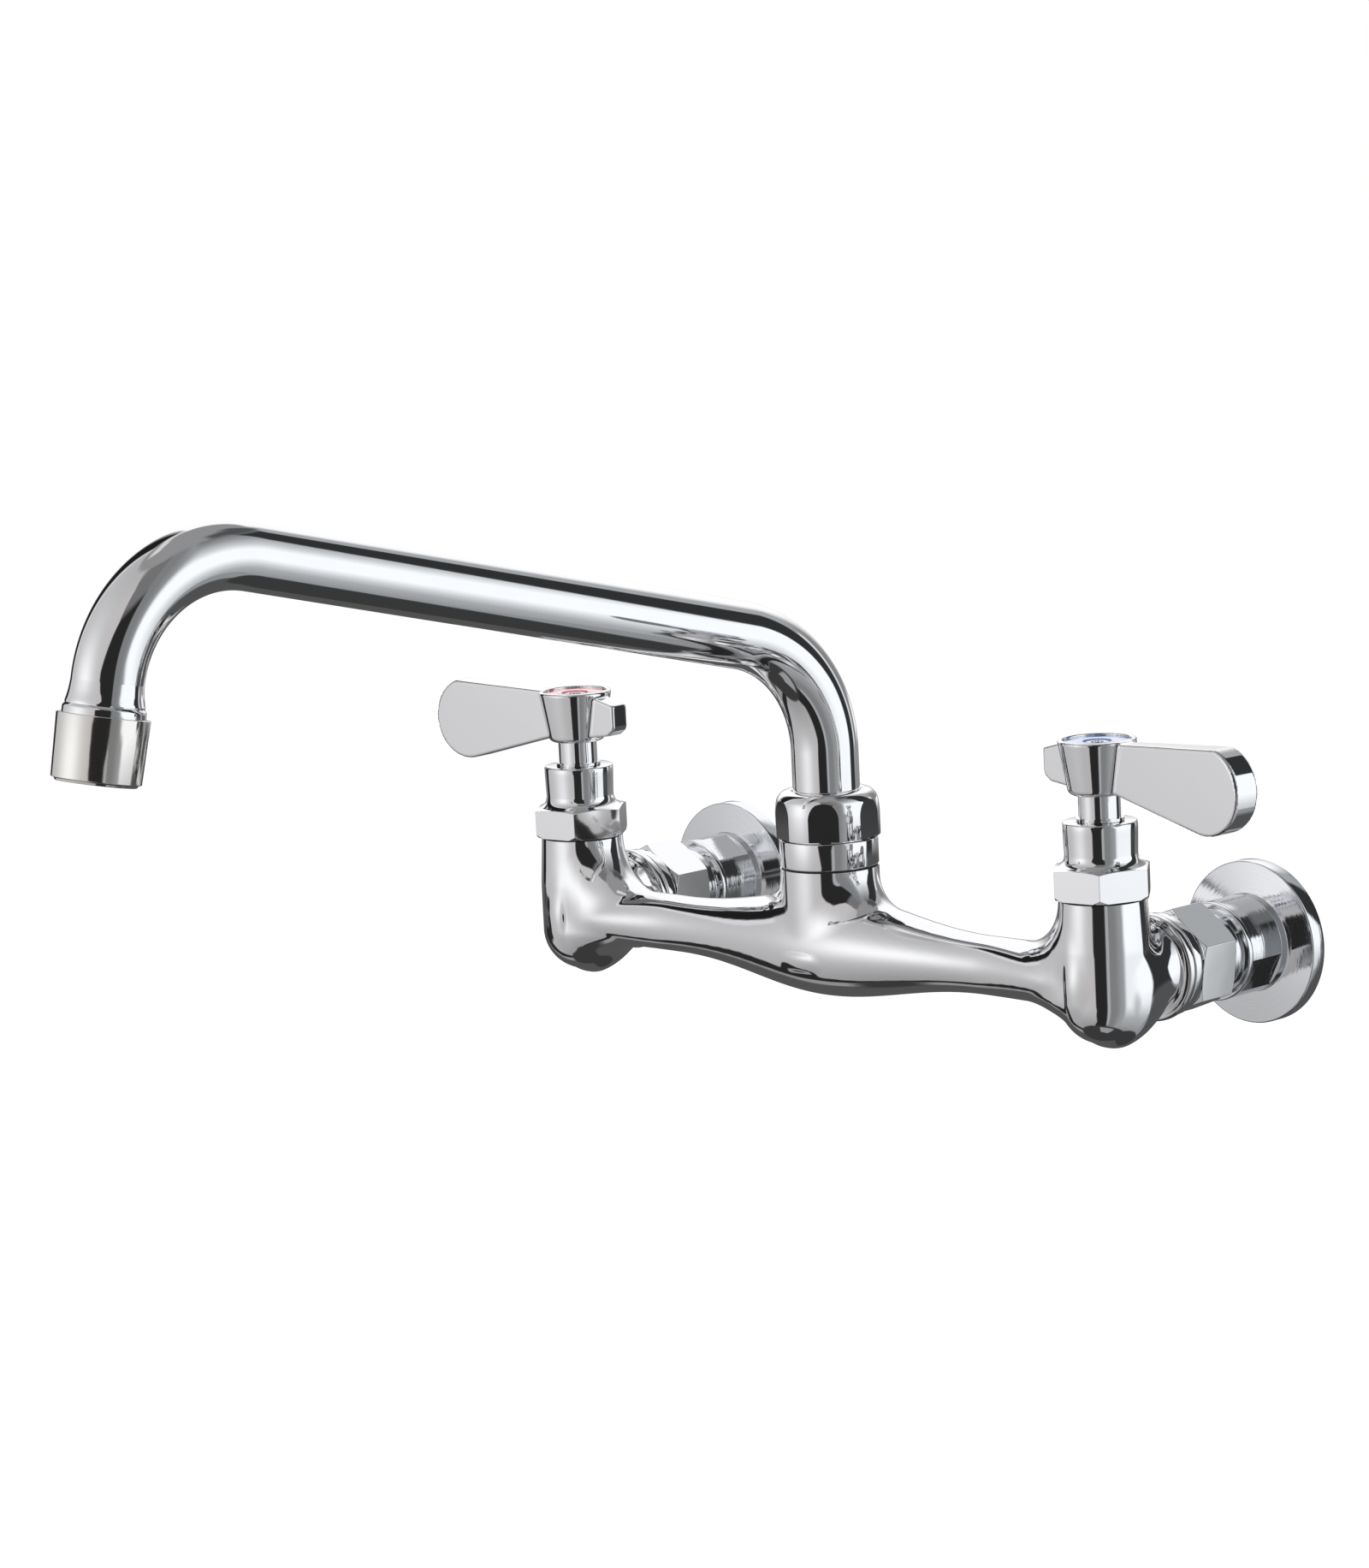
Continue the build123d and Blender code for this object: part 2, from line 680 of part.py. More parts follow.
# ---------------------------------------------------------------- inlets
for side, x in sides.items():
    turn = nut_turns[side]
    nut_corner_r = nut_flats / 2 / cos(radians(30))

    with BuildPart() as union_nut:
        # seen from the valve, corners are counted from +X towards +Z, so the turn is reversed
        hexagon(inlet_face(x, nut_start), nut_flats, nut_end - nut_start, turn=-turn)
        turned(
            inlet_cut(x),
            [
                (0, nut_start),
                (nut_corner_r - nut_chamfer, nut_start),
                (nut_corner_r, nut_start + nut_chamfer / 2),
                (nut_corner_r, nut_end - nut_chamfer / 2),
                (nut_corner_r - nut_chamfer, nut_end),
                (0, nut_end),
            ],
            mode=Mode.INTERSECT,
        )
        disc(inlet_face(x, nut_start), shank_r + fit_gap, nut_end, mode=Mode.SUBTRACT)
        disc(inlet_face(x, nut_start + nut_lip), nut_bore_r, nut_end, mode=Mode.SUBTRACT)
    save(union_nut.part, f"{side}_union_nut")

    with BuildPart() as split_ring:
        ring_plane = inlet_face(x, split_ring_start)
        ring(ring_plane, nut_bore_r - fit_gap / 2, split_groove_r + seat_gap, split_ring_height)
        with Locations((x, row_y + split_ring_start + split_ring_height / 2, -shank_r)):
            Box(split_ring_gap, split_ring_height, shank_r, mode=Mode.SUBTRACT)
    save(split_ring.part, f"{side}_split_ring")

    with BuildPart() as union_gasket:
        gasket_plane = inlet_face(x, shank_end)
        ring(gasket_plane, flange_neck_r - fit_gap, water_r, inlet_gasket_height)
    save(union_gasket.part, f"{side}_union_gasket")

    with BuildPart() as wall_flange:
        neck_start = shank_end + inlet_gasket_height
        disc_start = wall_offset - flange_thickness
        turned(
            inlet_cut(x),
            [
                (0, neck_start),
                (flange_neck_r - edge, neck_start),
                (flange_neck_r, neck_start + edge),
                (flange_neck_r, flange_hub_start),
                (flange_hub_r - edge, flange_hub_start),
                (flange_hub_r, flange_hub_start + edge),
                (flange_hub_r, disc_start),
                (flange_r - edge, disc_start),
                (flange_r, disc_start + edge),
                (flange_r, wall_offset),
                (0, wall_offset),
            ],
        )
        # two wrench flats on the hub
        flats_start = flange_hub_start + wrench_flat_inset
        flats_length = disc_start - wrench_flat_end - flats_start
        for facing in (1, -1):
            across = inlet_cut(x, wrench_turns[side])
            centre = across.from_local_coords((facing * (wrench_flat + flange_r / 2), 0, 0))
            spot = Plane(
                origin=centre + Vector(0, flats_start, 0), x_dir=across.x_dir, z_dir=(0, 1, 0)
            )
            block(spot, flange_r, 2 * flange_r, flats_length, mode=Mode.SUBTRACT)
        disc(inlet_face(x, neck_start), water_r, wall_offset, mode=Mode.SUBTRACT)
        thread_start = inlet_face(x, wall_offset - pipe_thread_length)
        disc(thread_start, pipe_thread_r, pipe_thread_length, mode=Mode.SUBTRACT)
    save(wall_flange.part, f"{side}_wall_flange")

# ---------------------------------------------------------------- spout seat
collar_bottom = body_top + adapter_gasket_height

with BuildPart() as spout_adapter:
    turned(
        upright(0),
        [
            (0, adapter_bottom),
            (adapter_shank_r, adapter_bottom),
            (adapter_shank_r, collar_bottom),
            (hub_r - edge, collar_bottom),
            (hub_r, collar_bottom + edge),
            (hub_r, adapter_top - edge),
            (hub_r - edge, adapter_top),
            (spigot_r, adapter_top),
            (spigot_r, spigot_top),
            (0, spigot_top),
        ],
    )
    disc(level(0, socket_floor), socket_r, spigot_top, mode=Mode.SUBTRACT)
    disc(level(0, adapter_bottom), adapter_bore_r, spigot_top, mode=Mode.SUBTRACT)
save(spout_adapter.part, "spout_adapter")

with BuildPart() as adapter_gasket:
    ring(level(0, body_top), hub_r - edge, adapter_shank_r + seat_gap, adapter_gasket_height)
save(adapter_gasket.part, "adapter_gasket")

glide_bottom = spigot_top + sleeve_flange_height
glide_top = glide_bottom + glide_height
tube_hole_r = tube_r + fit_gap

with BuildPart() as spout_nut:
    nut_bottom = adapter_top + adapter_gasket_height
    with BuildSketch(upright(0)):
        with BuildLine():
            Polyline(
                (0, nut_bottom),
                (spout_nut_r - edge, nut_bottom),
                (spout_nut_r, nut_bottom + edge),
                (spout_nut_r, spout_nut_top - spout_nut_dome),
            )
            Bezier(
                (spout_nut_r, spout_nut_top - spout_nut_dome),
                (spout_nut_r, spout_nut_top - edge),
                (spigot_r, spout_nut_top),
                (tube_hole_r + edge, spout_nut_top),
            )
            Polyline((tube_hole_r + edge, spout_nut_top), (0, spout_nut_top), (0, nut_bottom))
        make_face()
    revolve(axis=hub_axis)
    hexagon(level(0, nut_bottom), spout_nut_flats, hub_r, spout_nut_turn, mode=Mode.INTERSECT)
    disc(level(0, nut_bottom), tube_hole_r, spout_nut_top, mode=Mode.SUBTRACT)
    disc(level(0, nut_bottom), spigot_r + thread_fit, glide_top - nut_bottom, mode=Mode.SUBTRACT)
save(spout_nut.part, "spout_nut")

with BuildPart() as glide_ring:
    ring(level(0, glide_bottom), sleeve_flange_r, tube_hole_r, glide_height)
save(glide_ring.part, "glide_ring")

# ---------------------------------------------------------------- spout
heading = Vector(-sin(radians(spout_heading)), -cos(radians(spout_heading)), 0)
sideways = heading.cross(Vector(0, 0, 1))
flow = heading * sin(radians(outlet_tilt)) - Vector(0, 0, cos(radians(outlet_tilt)))
spout_plane = Plane(origin=(0, row_y, 0), x_dir=heading, z_dir=sideways)

with BuildLine() as centre_line:
    riser = Line((0, tube_start), (0, riser_top))
    first_bend = JernArc(riser @ 1, riser % 1, riser_bend_r, spout_rise - 90)
    run = Line(first_bend @ 1, first_bend @ 1 + spout_run * (first_bend % 1))
    outlet_bend = JernArc(run @ 1, run % 1, outlet_bend_r, outlet_tilt - 90 - spout_rise)
    outlet = Line(
        outlet_bend @ 1, outlet_bend @ 1 + (outlet_length - lip_height) * (outlet_bend % 1)
    )
tube_end = spout_plane.from_local_coords(outlet @ 1)


def outlet_face(along):
    """Plane square to the outlet, counted from the end of the tube along the flow."""
    return Plane(origin=tube_end + flow * along, x_dir=sideways, z_dir=flow)


outlet_cut = Plane(origin=tube_end, x_dir=sideways, z_dir=sideways.cross(flow))

with BuildPart() as spout_tube:
    with BuildSketch(level(0, tube_start)):
        Circle(tube_r)
        Circle(tube_r - tube_wall, mode=Mode.SUBTRACT)
    sweep(path=spout_plane * centre_line.line)
save(spout_tube.part, "spout_tube")

sleeve_r = socket_r - turn_fit

with BuildPart() as spout_sleeve:
    ring(level(0, sleeve_bottom), sleeve_r, tube_r + seat_gap, spigot_top - sleeve_bottom)
    ring(level(0, spigot_top), sleeve_flange_r, tube_r + seat_gap, sleeve_flange_height)
    for z in sleeve_ring_levels:
        groove = 2 * (sleeve_wire_r + stem_groove_side)
        low = level(0, z - groove / 2)
        ring(low, hub_r, sleeve_r - 2 * sleeve_wire_r, groove, mode=Mode.SUBTRACT)
save(spout_sleeve.part, "spout_sleeve")

with BuildPart() as spout_o_rings:
    for z in sleeve_ring_levels:
        wire_ring(0, z, sleeve_r - sleeve_wire_r, sleeve_wire_r)
save(spout_o_rings.part, "spout_o_rings")

thread_end = lip_height + outlet_spigot_length

with BuildPart() as outlet_fitting:
    turned(
        outlet_cut,
        [
            (0, -outlet_socket_depth),
            (tube_r - tube_wall - seat_gap, -outlet_socket_depth),
            (tube_r - tube_wall - seat_gap, 0),
            (tube_r, 0),
            (lip_r, lip_blend),
            (lip_r, lip_height),
            (outlet_spigot_r, lip_height),
            (outlet_spigot_r, thread_end),
            (0, thread_end),
        ],
    )
    bore_length = thread_end + outlet_socket_depth
    disc(outlet_face(-outlet_socket_depth), outlet_bore_r, bore_length, mode=Mode.SUBTRACT)
save(outlet_fitting.part, "outlet_fitting")

shell_end = lip_height + aerator_length
mouth_start = shell_end - aerator_lip
screen_start = mouth_start - screen_height
insert_start = thread_end + aerator_washer_height
insert_r = outlet_spigot_r - edge_gap

with BuildPart() as aerator_shell:
    turned(
        outlet_cut,
        [
            (0, lip_height),
            (aerator_top_r - edge, lip_height),
            (aerator_top_r, lip_height + edge),
            (aerator_end_r, shell_end - aerator_lip),
            (aerator_end_r - aerator_lip, shell_end),
            (0, shell_end),
        ],
    )
    disc(outlet_face(lip_height), aerator_mouth_r, aerator_length, mode=Mode.SUBTRACT)
    chamber_length = mouth_start - lip_height
    disc(outlet_face(lip_height), outlet_spigot_r + thread_fit, chamber_length, mode=Mode.SUBTRACT)
save(aerator_shell.part, "aerator_shell")

with BuildPart() as aerator_washer:
    ring(outlet_face(thread_end), insert_r, outlet_bore_r, aerator_washer_height)
save(aerator_washer.part, "aerator_washer")

with BuildPart() as aerator_insert:
    insert_height = screen_start - insert_start
    disc(outlet_face(insert_start), insert_r, insert_height)
    with BuildSketch(outlet_face(insert_start)):
        for circle_r, count in insert_holes:
            with PolarLocations(circle_r, count):
                Circle(insert_hole_r)
    extrude(amount=insert_height, mode=Mode.SUBTRACT)
save(aerator_insert.part, "aerator_insert")

with BuildPart() as aerator_screen:
    disc(outlet_face(screen_start), insert_r, screen_height)
    with BuildSketch(outlet_face(screen_start)):
        with GridLocations(screen_pitch, screen_pitch, screen_rows, screen_rows):
            Rectangle(screen_opening, screen_opening)
        Circle(aerator_mouth_r - edge, mode=Mode.INTERSECT)
    extrude(amount=screen_height, mode=Mode.SUBTRACT)
save(aerator_screen.part, "aerator_screen")
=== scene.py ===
import json
import math

import bmesh
import bpy
import numpy as np
from mathutils import Matrix, Vector


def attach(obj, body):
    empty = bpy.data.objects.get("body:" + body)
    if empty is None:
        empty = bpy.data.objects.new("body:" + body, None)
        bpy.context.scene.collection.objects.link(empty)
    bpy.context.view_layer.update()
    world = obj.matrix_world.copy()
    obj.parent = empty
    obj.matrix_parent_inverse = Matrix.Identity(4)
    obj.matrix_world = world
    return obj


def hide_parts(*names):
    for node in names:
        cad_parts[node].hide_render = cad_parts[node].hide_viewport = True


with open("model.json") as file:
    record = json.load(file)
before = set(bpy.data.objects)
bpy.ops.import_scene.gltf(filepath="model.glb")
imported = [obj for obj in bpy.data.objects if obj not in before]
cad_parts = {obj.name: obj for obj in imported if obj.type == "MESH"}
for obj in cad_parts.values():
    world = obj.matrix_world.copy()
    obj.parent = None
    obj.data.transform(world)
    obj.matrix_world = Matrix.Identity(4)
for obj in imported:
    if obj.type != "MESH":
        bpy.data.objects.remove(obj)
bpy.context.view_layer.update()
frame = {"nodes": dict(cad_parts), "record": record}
scene = bpy.context.scene

# Wall faucet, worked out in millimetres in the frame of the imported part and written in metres.
# The wall is the plane Y = 0, +X is to the right as one faces it, the valve row lies in front.
MM = 0.001
VALVE_X = 101.6  # from the middle to each valve and inlet
ROW_Y = -65.5  # the row of the hub and the valves
BAR_Z = -0.6
SIDES = {"hot": -1, "cold": 1}
UP = Vector((0, 0, 1))

# ---------------------------------------------------------------- camera
camera_data = bpy.data.cameras.new("camera")
camera_data.lens = 119.46
camera_data.sensor_width = 36.0
camera_data.clip_start = 0.05
camera_data.clip_end = 60.0
camera = bpy.data.objects.new("camera", camera_data)
scene.collection.objects.link(camera)
camera.matrix_world = Matrix((
    (0.70189, -0.07618, 0.70820, 1.009556),
    (0.71067, 0.14186, -0.68908, -1.103409),
    (-0.04797, 0.98695, 0.15371, 0.272361),
    (0.0, 0.0, 0.0, 1.0),
))
scene.camera = camera
scene.view_settings.view_transform = "Standard"

# ---------------------------------------------------------------- finishes
CHROME = (0.85, 0.85, 0.86)
WAVE_DETAIL = 1.0
WAVE_RELIEF = 0.001  # metres at full depth
SMEAR_SIZE = 90.0  # smears of wear in a metre
SMEAR_DETAIL = 6.0
MARK_DETAIL = 3.0
MARK_RELIEF = 0.0001
MARK_DRIFT = 0.0012  # metres that a turning mark drifts outwards in one radian
MARK_RUN = 0.0006  # metres of pattern that pass along a mark in one radian
MARK_DULLS = 0.08  # roughness that the deepest mark adds
GRAIN_DETAIL = 4.0
GRAIN_STRENGTH = 0.15
GRAIN_RELIEF = 0.0001
LACQUER_ROUGHNESS = 0.04


def wire(tree, source, target):
    """Give a socket a plain number or another node's output."""
    if isinstance(source, float):
        target.default_value = source
    else:
        tree.links.new(source, target)


def maths(tree, operation, *values):
    """Result of one sum on numbers and outputs."""
    node = tree.nodes.new("ShaderNodeMath")
    node.operation = operation
    for slot, value in enumerate(values):
        wire(tree, value, node.inputs[slot])
    return node.outputs["Value"]


def noise(tree, place, size, detail):
    """Noise at a place. Size is how many of its waves fit in a metre."""
    node = tree.nodes.new("ShaderNodeTexNoise")
    node.inputs["Detail"].default_value = detail
    wire(tree, place, node.inputs["Vector"])
    wire(tree, size, node.inputs["Scale"])
    return node.outputs["Fac"]


def relief(tree, height, strength, distance):
    """Normal of a surface with a pattern of heights."""
    node = tree.nodes.new("ShaderNodeBump")
    node.inputs["Distance"].default_value = distance
    wire(tree, height, node.inputs["Height"])
    wire(tree, strength, node.inputs["Strength"])
    return node.outputs["Normal"]


def object_place(tree):
    return tree.nodes.new("ShaderNodeTexCoord").outputs["Object"]


def surface_group(name, inputs):
    """Empty node group that takes numbers and gives a roughness and a normal."""
    group = bpy.data.node_groups.new(name, "ShaderNodeTree")
    for label, value in inputs.items():
        socket = group.interface.new_socket(label, in_out="INPUT", socket_type="NodeSocketFloat")
        socket.default_value = value
    group.interface.new_socket("Roughness", in_out="OUTPUT", socket_type="NodeSocketFloat")
    group.interface.new_socket("Normal", in_out="OUTPUT", socket_type="NodeSocketVector")
    given = group.nodes.new("NodeGroupInput").outputs
    result = group.nodes.new("NodeGroupOutput").inputs
    return group, given, result


def plating_group():
    """Slow waves of a polished and plated casting, with a breath of fine wear in its gloss."""
    group, given, result = surface_group(
        "plating", {"Wave size": 60.0, "Wave depth": 0.05, "Gloss": 0.05, "Wear": 0.04})
    place = object_place(group)
    waves = noise(group, place, given["Wave size"], WAVE_DETAIL)
    wire(group, relief(group, waves, given["Wave depth"], WAVE_RELIEF), result["Normal"])
    smears = noise(group, place, SMEAR_SIZE, SMEAR_DETAIL)
    worn = maths(group, "MULTIPLY_ADD", smears, given["Wear"], given["Gloss"])
    wire(group, worn, result["Roughness"])
    return group


def turning_group():
    """Fine marks left by turning and brushing round an inlet's axis."""
    group, given, result = surface_group(
        "turning marks", {"Mark size": 700.0, "Mark depth": 0.2, "Gloss": 0.1})
    axes = group.nodes.new("ShaderNodeSeparateXYZ")
    wire(group, object_place(group), axes.inputs["Vector"])
    x, y, z = axes.outputs
    aside = maths(group, "SUBTRACT", maths(group, "ABSOLUTE", x), VALVE_X * MM)
    squares = maths(group, "ADD", maths(group, "POWER", aside, 2.0), maths(group, "POWER", z, 2.0))
    angle = maths(group, "ARCTAN2", z, aside)
    drift = maths(group, "MULTIPLY", angle, MARK_DRIFT)
    swirl = group.nodes.new("ShaderNodeCombineXYZ")
    wire(group, maths(group, "ADD", maths(group, "SQRT", squares), drift), swirl.inputs["X"])
    wire(group, maths(group, "MULTIPLY", angle, MARK_RUN), swirl.inputs["Y"])
    wire(group, y, swirl.inputs["Z"])
    marks = noise(group, swirl.outputs["Vector"], given["Mark size"], MARK_DETAIL)
    wire(group, relief(group, marks, given["Mark depth"], MARK_RELIEF), result["Normal"])
    dulled = maths(group, "MULTIPLY", marks, MARK_DULLS)
    wire(group, maths(group, "ADD", given["Gloss"], dulled), result["Roughness"])
    return group


PLATING = plating_group()
TURNING = turning_group()


def plain_finish(name, colour, metallic, roughness):
    """Material with its constants on the shader's own sockets."""
    material = bpy.data.materials.new(name)
    material.use_nodes = True
    shader = material.node_tree.nodes["Principled BSDF"]
    shader.inputs["Base Color"].default_value = (*colour, 1.0)
    shader.inputs["Metallic"].default_value = metallic
    shader.inputs["Roughness"].default_value = roughness
    return material, material.node_tree, shader


def over_group(name, colour, group, values):
    """Plating that takes its gloss and its surface from a node group."""
    material, tree, shader = plain_finish(name, colour, 1.0, values["Gloss"])
    surface = tree.nodes.new("ShaderNodeGroup")
    surface.node_tree = group
    for label, value in values.items():
        surface.inputs[label].default_value = value
    for label in ("Roughness", "Normal"):
        wire(tree, surface.outputs[label], shader.inputs[label])
    return material


def plated(name, wave_size, wave_depth, gloss, wear, colour=CHROME):
    """Bright chrome plating on a polished piece."""
    return over_group(name, colour, PLATING, {
        "Wave size": wave_size, "Wave depth": wave_depth, "Gloss": gloss, "Wear": wear})


def brushed(name, mark_size, mark_depth, gloss, colour):
    """Plating over turning and brushing marks."""
    return over_group(name, colour, TURNING, {
        "Mark size": mark_size, "Mark depth": mark_depth, "Gloss": gloss})


def speckled(name, colour, dark, roughness, size, metallic=0.0):
    """Even material with a fine mottle in its colour and surface."""
    material, tree, shader = plain_finish(name, colour, metallic, roughness)
    grain = noise(tree, object_place(tree), size, GRAIN_DETAIL)
    tint = tree.nodes.new("ShaderNodeMix")
    tint.data_type = "RGBA"
    tint.inputs["A"].default_value = (*dark, 1.0)
    tint.inputs["B"].default_value = (*colour, 1.0)
    wire(tree, grain, tint.inputs["Factor"])
    wire(tree, tint.outputs["Result"], shader.inputs["Base Color"])
    wire(tree, relief(tree, grain, GRAIN_STRENGTH, GRAIN_RELIEF), shader.inputs["Normal"])
    return material


def lacquered(material):
    """Clear gloss over a colour."""
    shader = material.node_tree.nodes["Principled BSDF"]
    shader.inputs["Coat Weight"].default_value = 1.0
    shader.inputs["Coat Roughness"].default_value = LACQUER_ROUGHNESS
    return material


FINISHES = {
    "casting": plated(
        "chrome on the casting", wave_size=38.0, wave_depth=0.12, gloss=0.03, wear=0.03),
    "chrome": plated("chrome", wave_size=70.0, wave_depth=0.03, gloss=0.03, wear=0.04),
    "chrome_stem": plated(
        "chrome on the stem", wave_size=70.0, wave_depth=0.02, gloss=0.02, wear=0.03),
    "brushed_chrome": brushed(
        "brushed chrome", mark_size=1400.0, mark_depth=0.3, gloss=0.04, colour=(0.82, 0.83, 0.85)),
    "satin_chrome": plated(
        "satin chrome", wave_size=300.0, wave_depth=0.02, gloss=0.07, wear=0.05,
        colour=(0.83, 0.81, 0.78)),
    "brass": speckled(
        "turned brass", (0.78, 0.60, 0.30), dark=(0.66, 0.48, 0.22), roughness=0.3, size=300.0,
        metallic=1.0),
    "rubber": speckled(
        "black rubber", (0.02, 0.02, 0.022), dark=(0.012, 0.012, 0.013), roughness=0.6, size=500.0),
    "ceramic": speckled(
        "white ceramic", (0.86, 0.85, 0.82), dark=(0.80, 0.79, 0.76), roughness=0.25, size=400.0),
    "white_plastic": speckled(
        "white plastic", (0.82, 0.83, 0.83), dark=(0.76, 0.77, 0.78), roughness=0.4, size=300.0),
    "steel_mesh": speckled(
        "steel mesh", (0.55, 0.55, 0.56), dark=(0.45, 0.45, 0.46), roughness=0.3, size=500.0,
        metallic=1.0),
    "red_plastic": lacquered(speckled(
        "red plastic", (0.78, 0.26, 0.30), dark=(0.70, 0.20, 0.24), roughness=0.2, size=300.0)),
    "blue_plastic": lacquered(speckled(
        "blue plastic", (0.26, 0.38, 0.72), dark=(0.20, 0.31, 0.64), roughness=0.2, size=300.0)),
}

node_slots = {entry["node"]: entry["material_slot"] for entry in frame["record"]["subparts"]}
for node, obj in frame["nodes"].items():
    obj.data.materials.clear()
    obj.data.materials.append(FINISHES[node_slots[node]])

# ---------------------------------------------------------------- making pieces
ROUGH_STEPS = 48  # steps round a shell that is only a start
ROUND_STEPS = 128  # steps round a turned piece
FINE_STEPS = 180  # steps round a turned piece that gets flats
CORNER_STEPS = 4
WELD = 1e-4
CUT_WELD = 1e-5
FLAT_CORNERS = 8  # a face with more corners than this is a machined flat
SHARP = 35.0  # degrees
EDGE_STEPS = 3


def turned(outline, steps=ROUND_STEPS):
    """Solid of revolution about Z. A corner is (radius, height) or (radius, height, rounding)."""
    bm = bmesh.new()
    corners = [bm.verts.new((c[0], 0.0, c[1])) for c in outline]
    closed = outline[0][0] > 0.0
    pairs = list(zip(corners, corners[1:]))
    if closed:
        pairs.append((corners[-1], corners[0]))
    for pair in pairs:
        bm.edges.new(pair)
    for corner, spec in zip(corners, outline):
        if len(spec) > 2:
            bmesh.ops.bevel(
                bm, geom=[corner], offset=spec[2], offset_type="OFFSET", segments=CORNER_STEPS,
                profile=0.5, affect="VERTICES", material=-1,
            )
    bmesh.ops.spin(
        bm, geom=bm.verts[:] + bm.edges[:], cent=(0, 0, 0), axis=(0, 0, 1),
        angle=2 * math.pi, steps=steps, use_merge=True,
    )
    bmesh.ops.remove_doubles(bm, verts=bm.verts, dist=WELD)
    bmesh.ops.recalc_face_normals(bm, faces=bm.faces)
    return bm


def trim(bm, point, facing):
    """Machine a flat face: cut away what lies beyond a plane and close the cut."""
    cut = bmesh.ops.bisect_plane(
        bm, geom=bm.verts[:] + bm.edges[:] + bm.faces[:], dist=CUT_WELD,
        plane_co=point, plane_no=facing, clear_outer=True,
    )
    rim = [e for e in cut["geom_cut"] if isinstance(e, bmesh.types.BMEdge)]
    bmesh.ops.edgeloop_fill(bm, edges=rim)
    return bm


def flatten(bm, angles, distance):
    """Mill a flat on each side that faces one of the angles, counted from +X."""
    for angle in angles:
        turn = math.radians(angle)
        facing = Vector((math.cos(turn), math.sin(turn), 0))
        trim(bm, facing * distance, facing)
    return bm


def hexagon_faces(corner):
    """Angles of a hexagon's faces, from the angle of one corner."""
    return [corner + 30 + 60 * k for k in range(6)]


def joined(*parts):
    """Several closed shells in one bmesh."""
    whole = bmesh.new()
    for part in parts:
        mesh = bpy.data.meshes.new("shell")
        part.to_mesh(mesh)
        part.free()
        whole.from_mesh(mesh)
        bpy.data.meshes.remove(mesh)
    return whole


def placed(bm, name):
    """Finished bmesh as an object of the scene."""
    mesh = bpy.data.meshes.new(name)
    bm.to_mesh(mesh)
    bm.free()
    obj = bpy.data.objects.new(name, mesh)
    scene.collection.objects.link(obj)
    return obj


def piece(bm, name, body, finish, node, sharp=SHARP, edge=0.0):
    """Bmesh in millimetres as a piece in metres that rides on its body and stands for a node."""
    for face in bm.faces:
        face.smooth = True
    for e in bm.edges:
        flat = any(len(face.verts) > FLAT_CORNERS for face in e.link_faces)
        e.smooth = e.calc_face_angle(0.0) < math.radians(sharp) and not flat
    bmesh.ops.scale(bm, vec=(MM, MM, MM), verts=bm.verts)
    obj = placed(bm, name)
    obj.data.materials.append(FINISHES[finish])
    if edge > 0.0:
        bevel = obj.modifiers.new("broken edges", "BEVEL")
        bevel.width = edge * MM
        bevel.segments = EDGE_STEPS
        bevel.limit_method = "ANGLE"
        bevel.angle_limit = math.radians(sharp)
        bevel.harden_normals = True
    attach(obj, body)
    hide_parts(node)


def turn_about(bm, axis, degrees):
    turn = Matrix.Rotation(math.radians(degrees), 3, axis)
    bmesh.ops.rotate(bm, cent=(0, 0, 0), matrix=turn, verts=bm.verts)


def stand(bm, x, z=0.0):
    """Set an upright turned piece on its valve or hub axis."""
    bmesh.ops.translate(bm, vec=(x, ROW_Y, z), verts=bm.verts)
    return bm


def lay_on_inlet(bm, x):
    """Lay a turned piece along an inlet: its Z becomes the way to the wall."""
    turn_about(bm, "X", -90)
    return stand(bm, x)


# ---------------------------------------------------------------- cast skins
FAR = 1e9
TINY = 1e-6
OPPOSED, ALIGNED = -0.95, 0.985  # limits of the cosine between two slopes
PROBE = 0.01  # step for the slope of a form
FLATTEST = 0.05  # least slope, squared, that a point is moved by
LONGEST_MOVE = 1.5


def outline_distance(across, up, outline):
    """Signed distance to a closed outline, negative inside it."""
    nearest = np.full(across.shape, FAR)
    inside = np.ones(across.shape)
    for (x0, z0), (x1, z1) in zip(outline, outline[1:] + outline[:1]):
        ex, ez = x1 - x0, z1 - z0
        wx, wz = across - x0, up - z0
        t = np.clip((wx * ex + wz * ez) / (ex * ex + ez * ez), 0.0, 1.0)
        nearest = np.minimum(nearest, (wx - ex * t) ** 2 + (wz - ez * t) ** 2)
        above, below, left = up >= z0, up < z1, ex * wz > ez * wx
        flip = (above & below & left) | (~above & ~below & ~left)
        inside = np.where(flip, -inside, inside)
    return np.sqrt(nearest) * inside


def filleted(a, b, r):
    """Union of two forms with a fillet in the corner between them."""
    u, v = np.maximum(r - a, 0.0), np.maximum(r - b, 0.0)
    return np.maximum(r, np.minimum(a, b)) - np.sqrt(u * u + v * v)


def eased(a, b, r):
    """Overlap of two forms with a rounded edge between them."""
    u, v = np.maximum(a + r, 0.0), np.maximum(b + r, 0.0)
    return np.minimum(-r, np.maximum(a, b)) + np.sqrt(u * u + v * v)


def length(v):
    return np.sqrt((v**2).sum(axis=1))


def unit(v):
    return v / np.maximum(length(v), TINY)[:, None]


def ended(form, beyond, way):
    """A form, as distance and slope, with a soft end. Beyond is how far past it a point lies."""
    distance, slope = form
    out = np.maximum(distance, 0.0)
    past = beyond > 0
    tilted = unit(out[:, None] * slope + beyond[:, None] * np.array(way))
    return np.where(past, np.hypot(out, beyond), distance), np.where(past[:, None], tilted, slope)


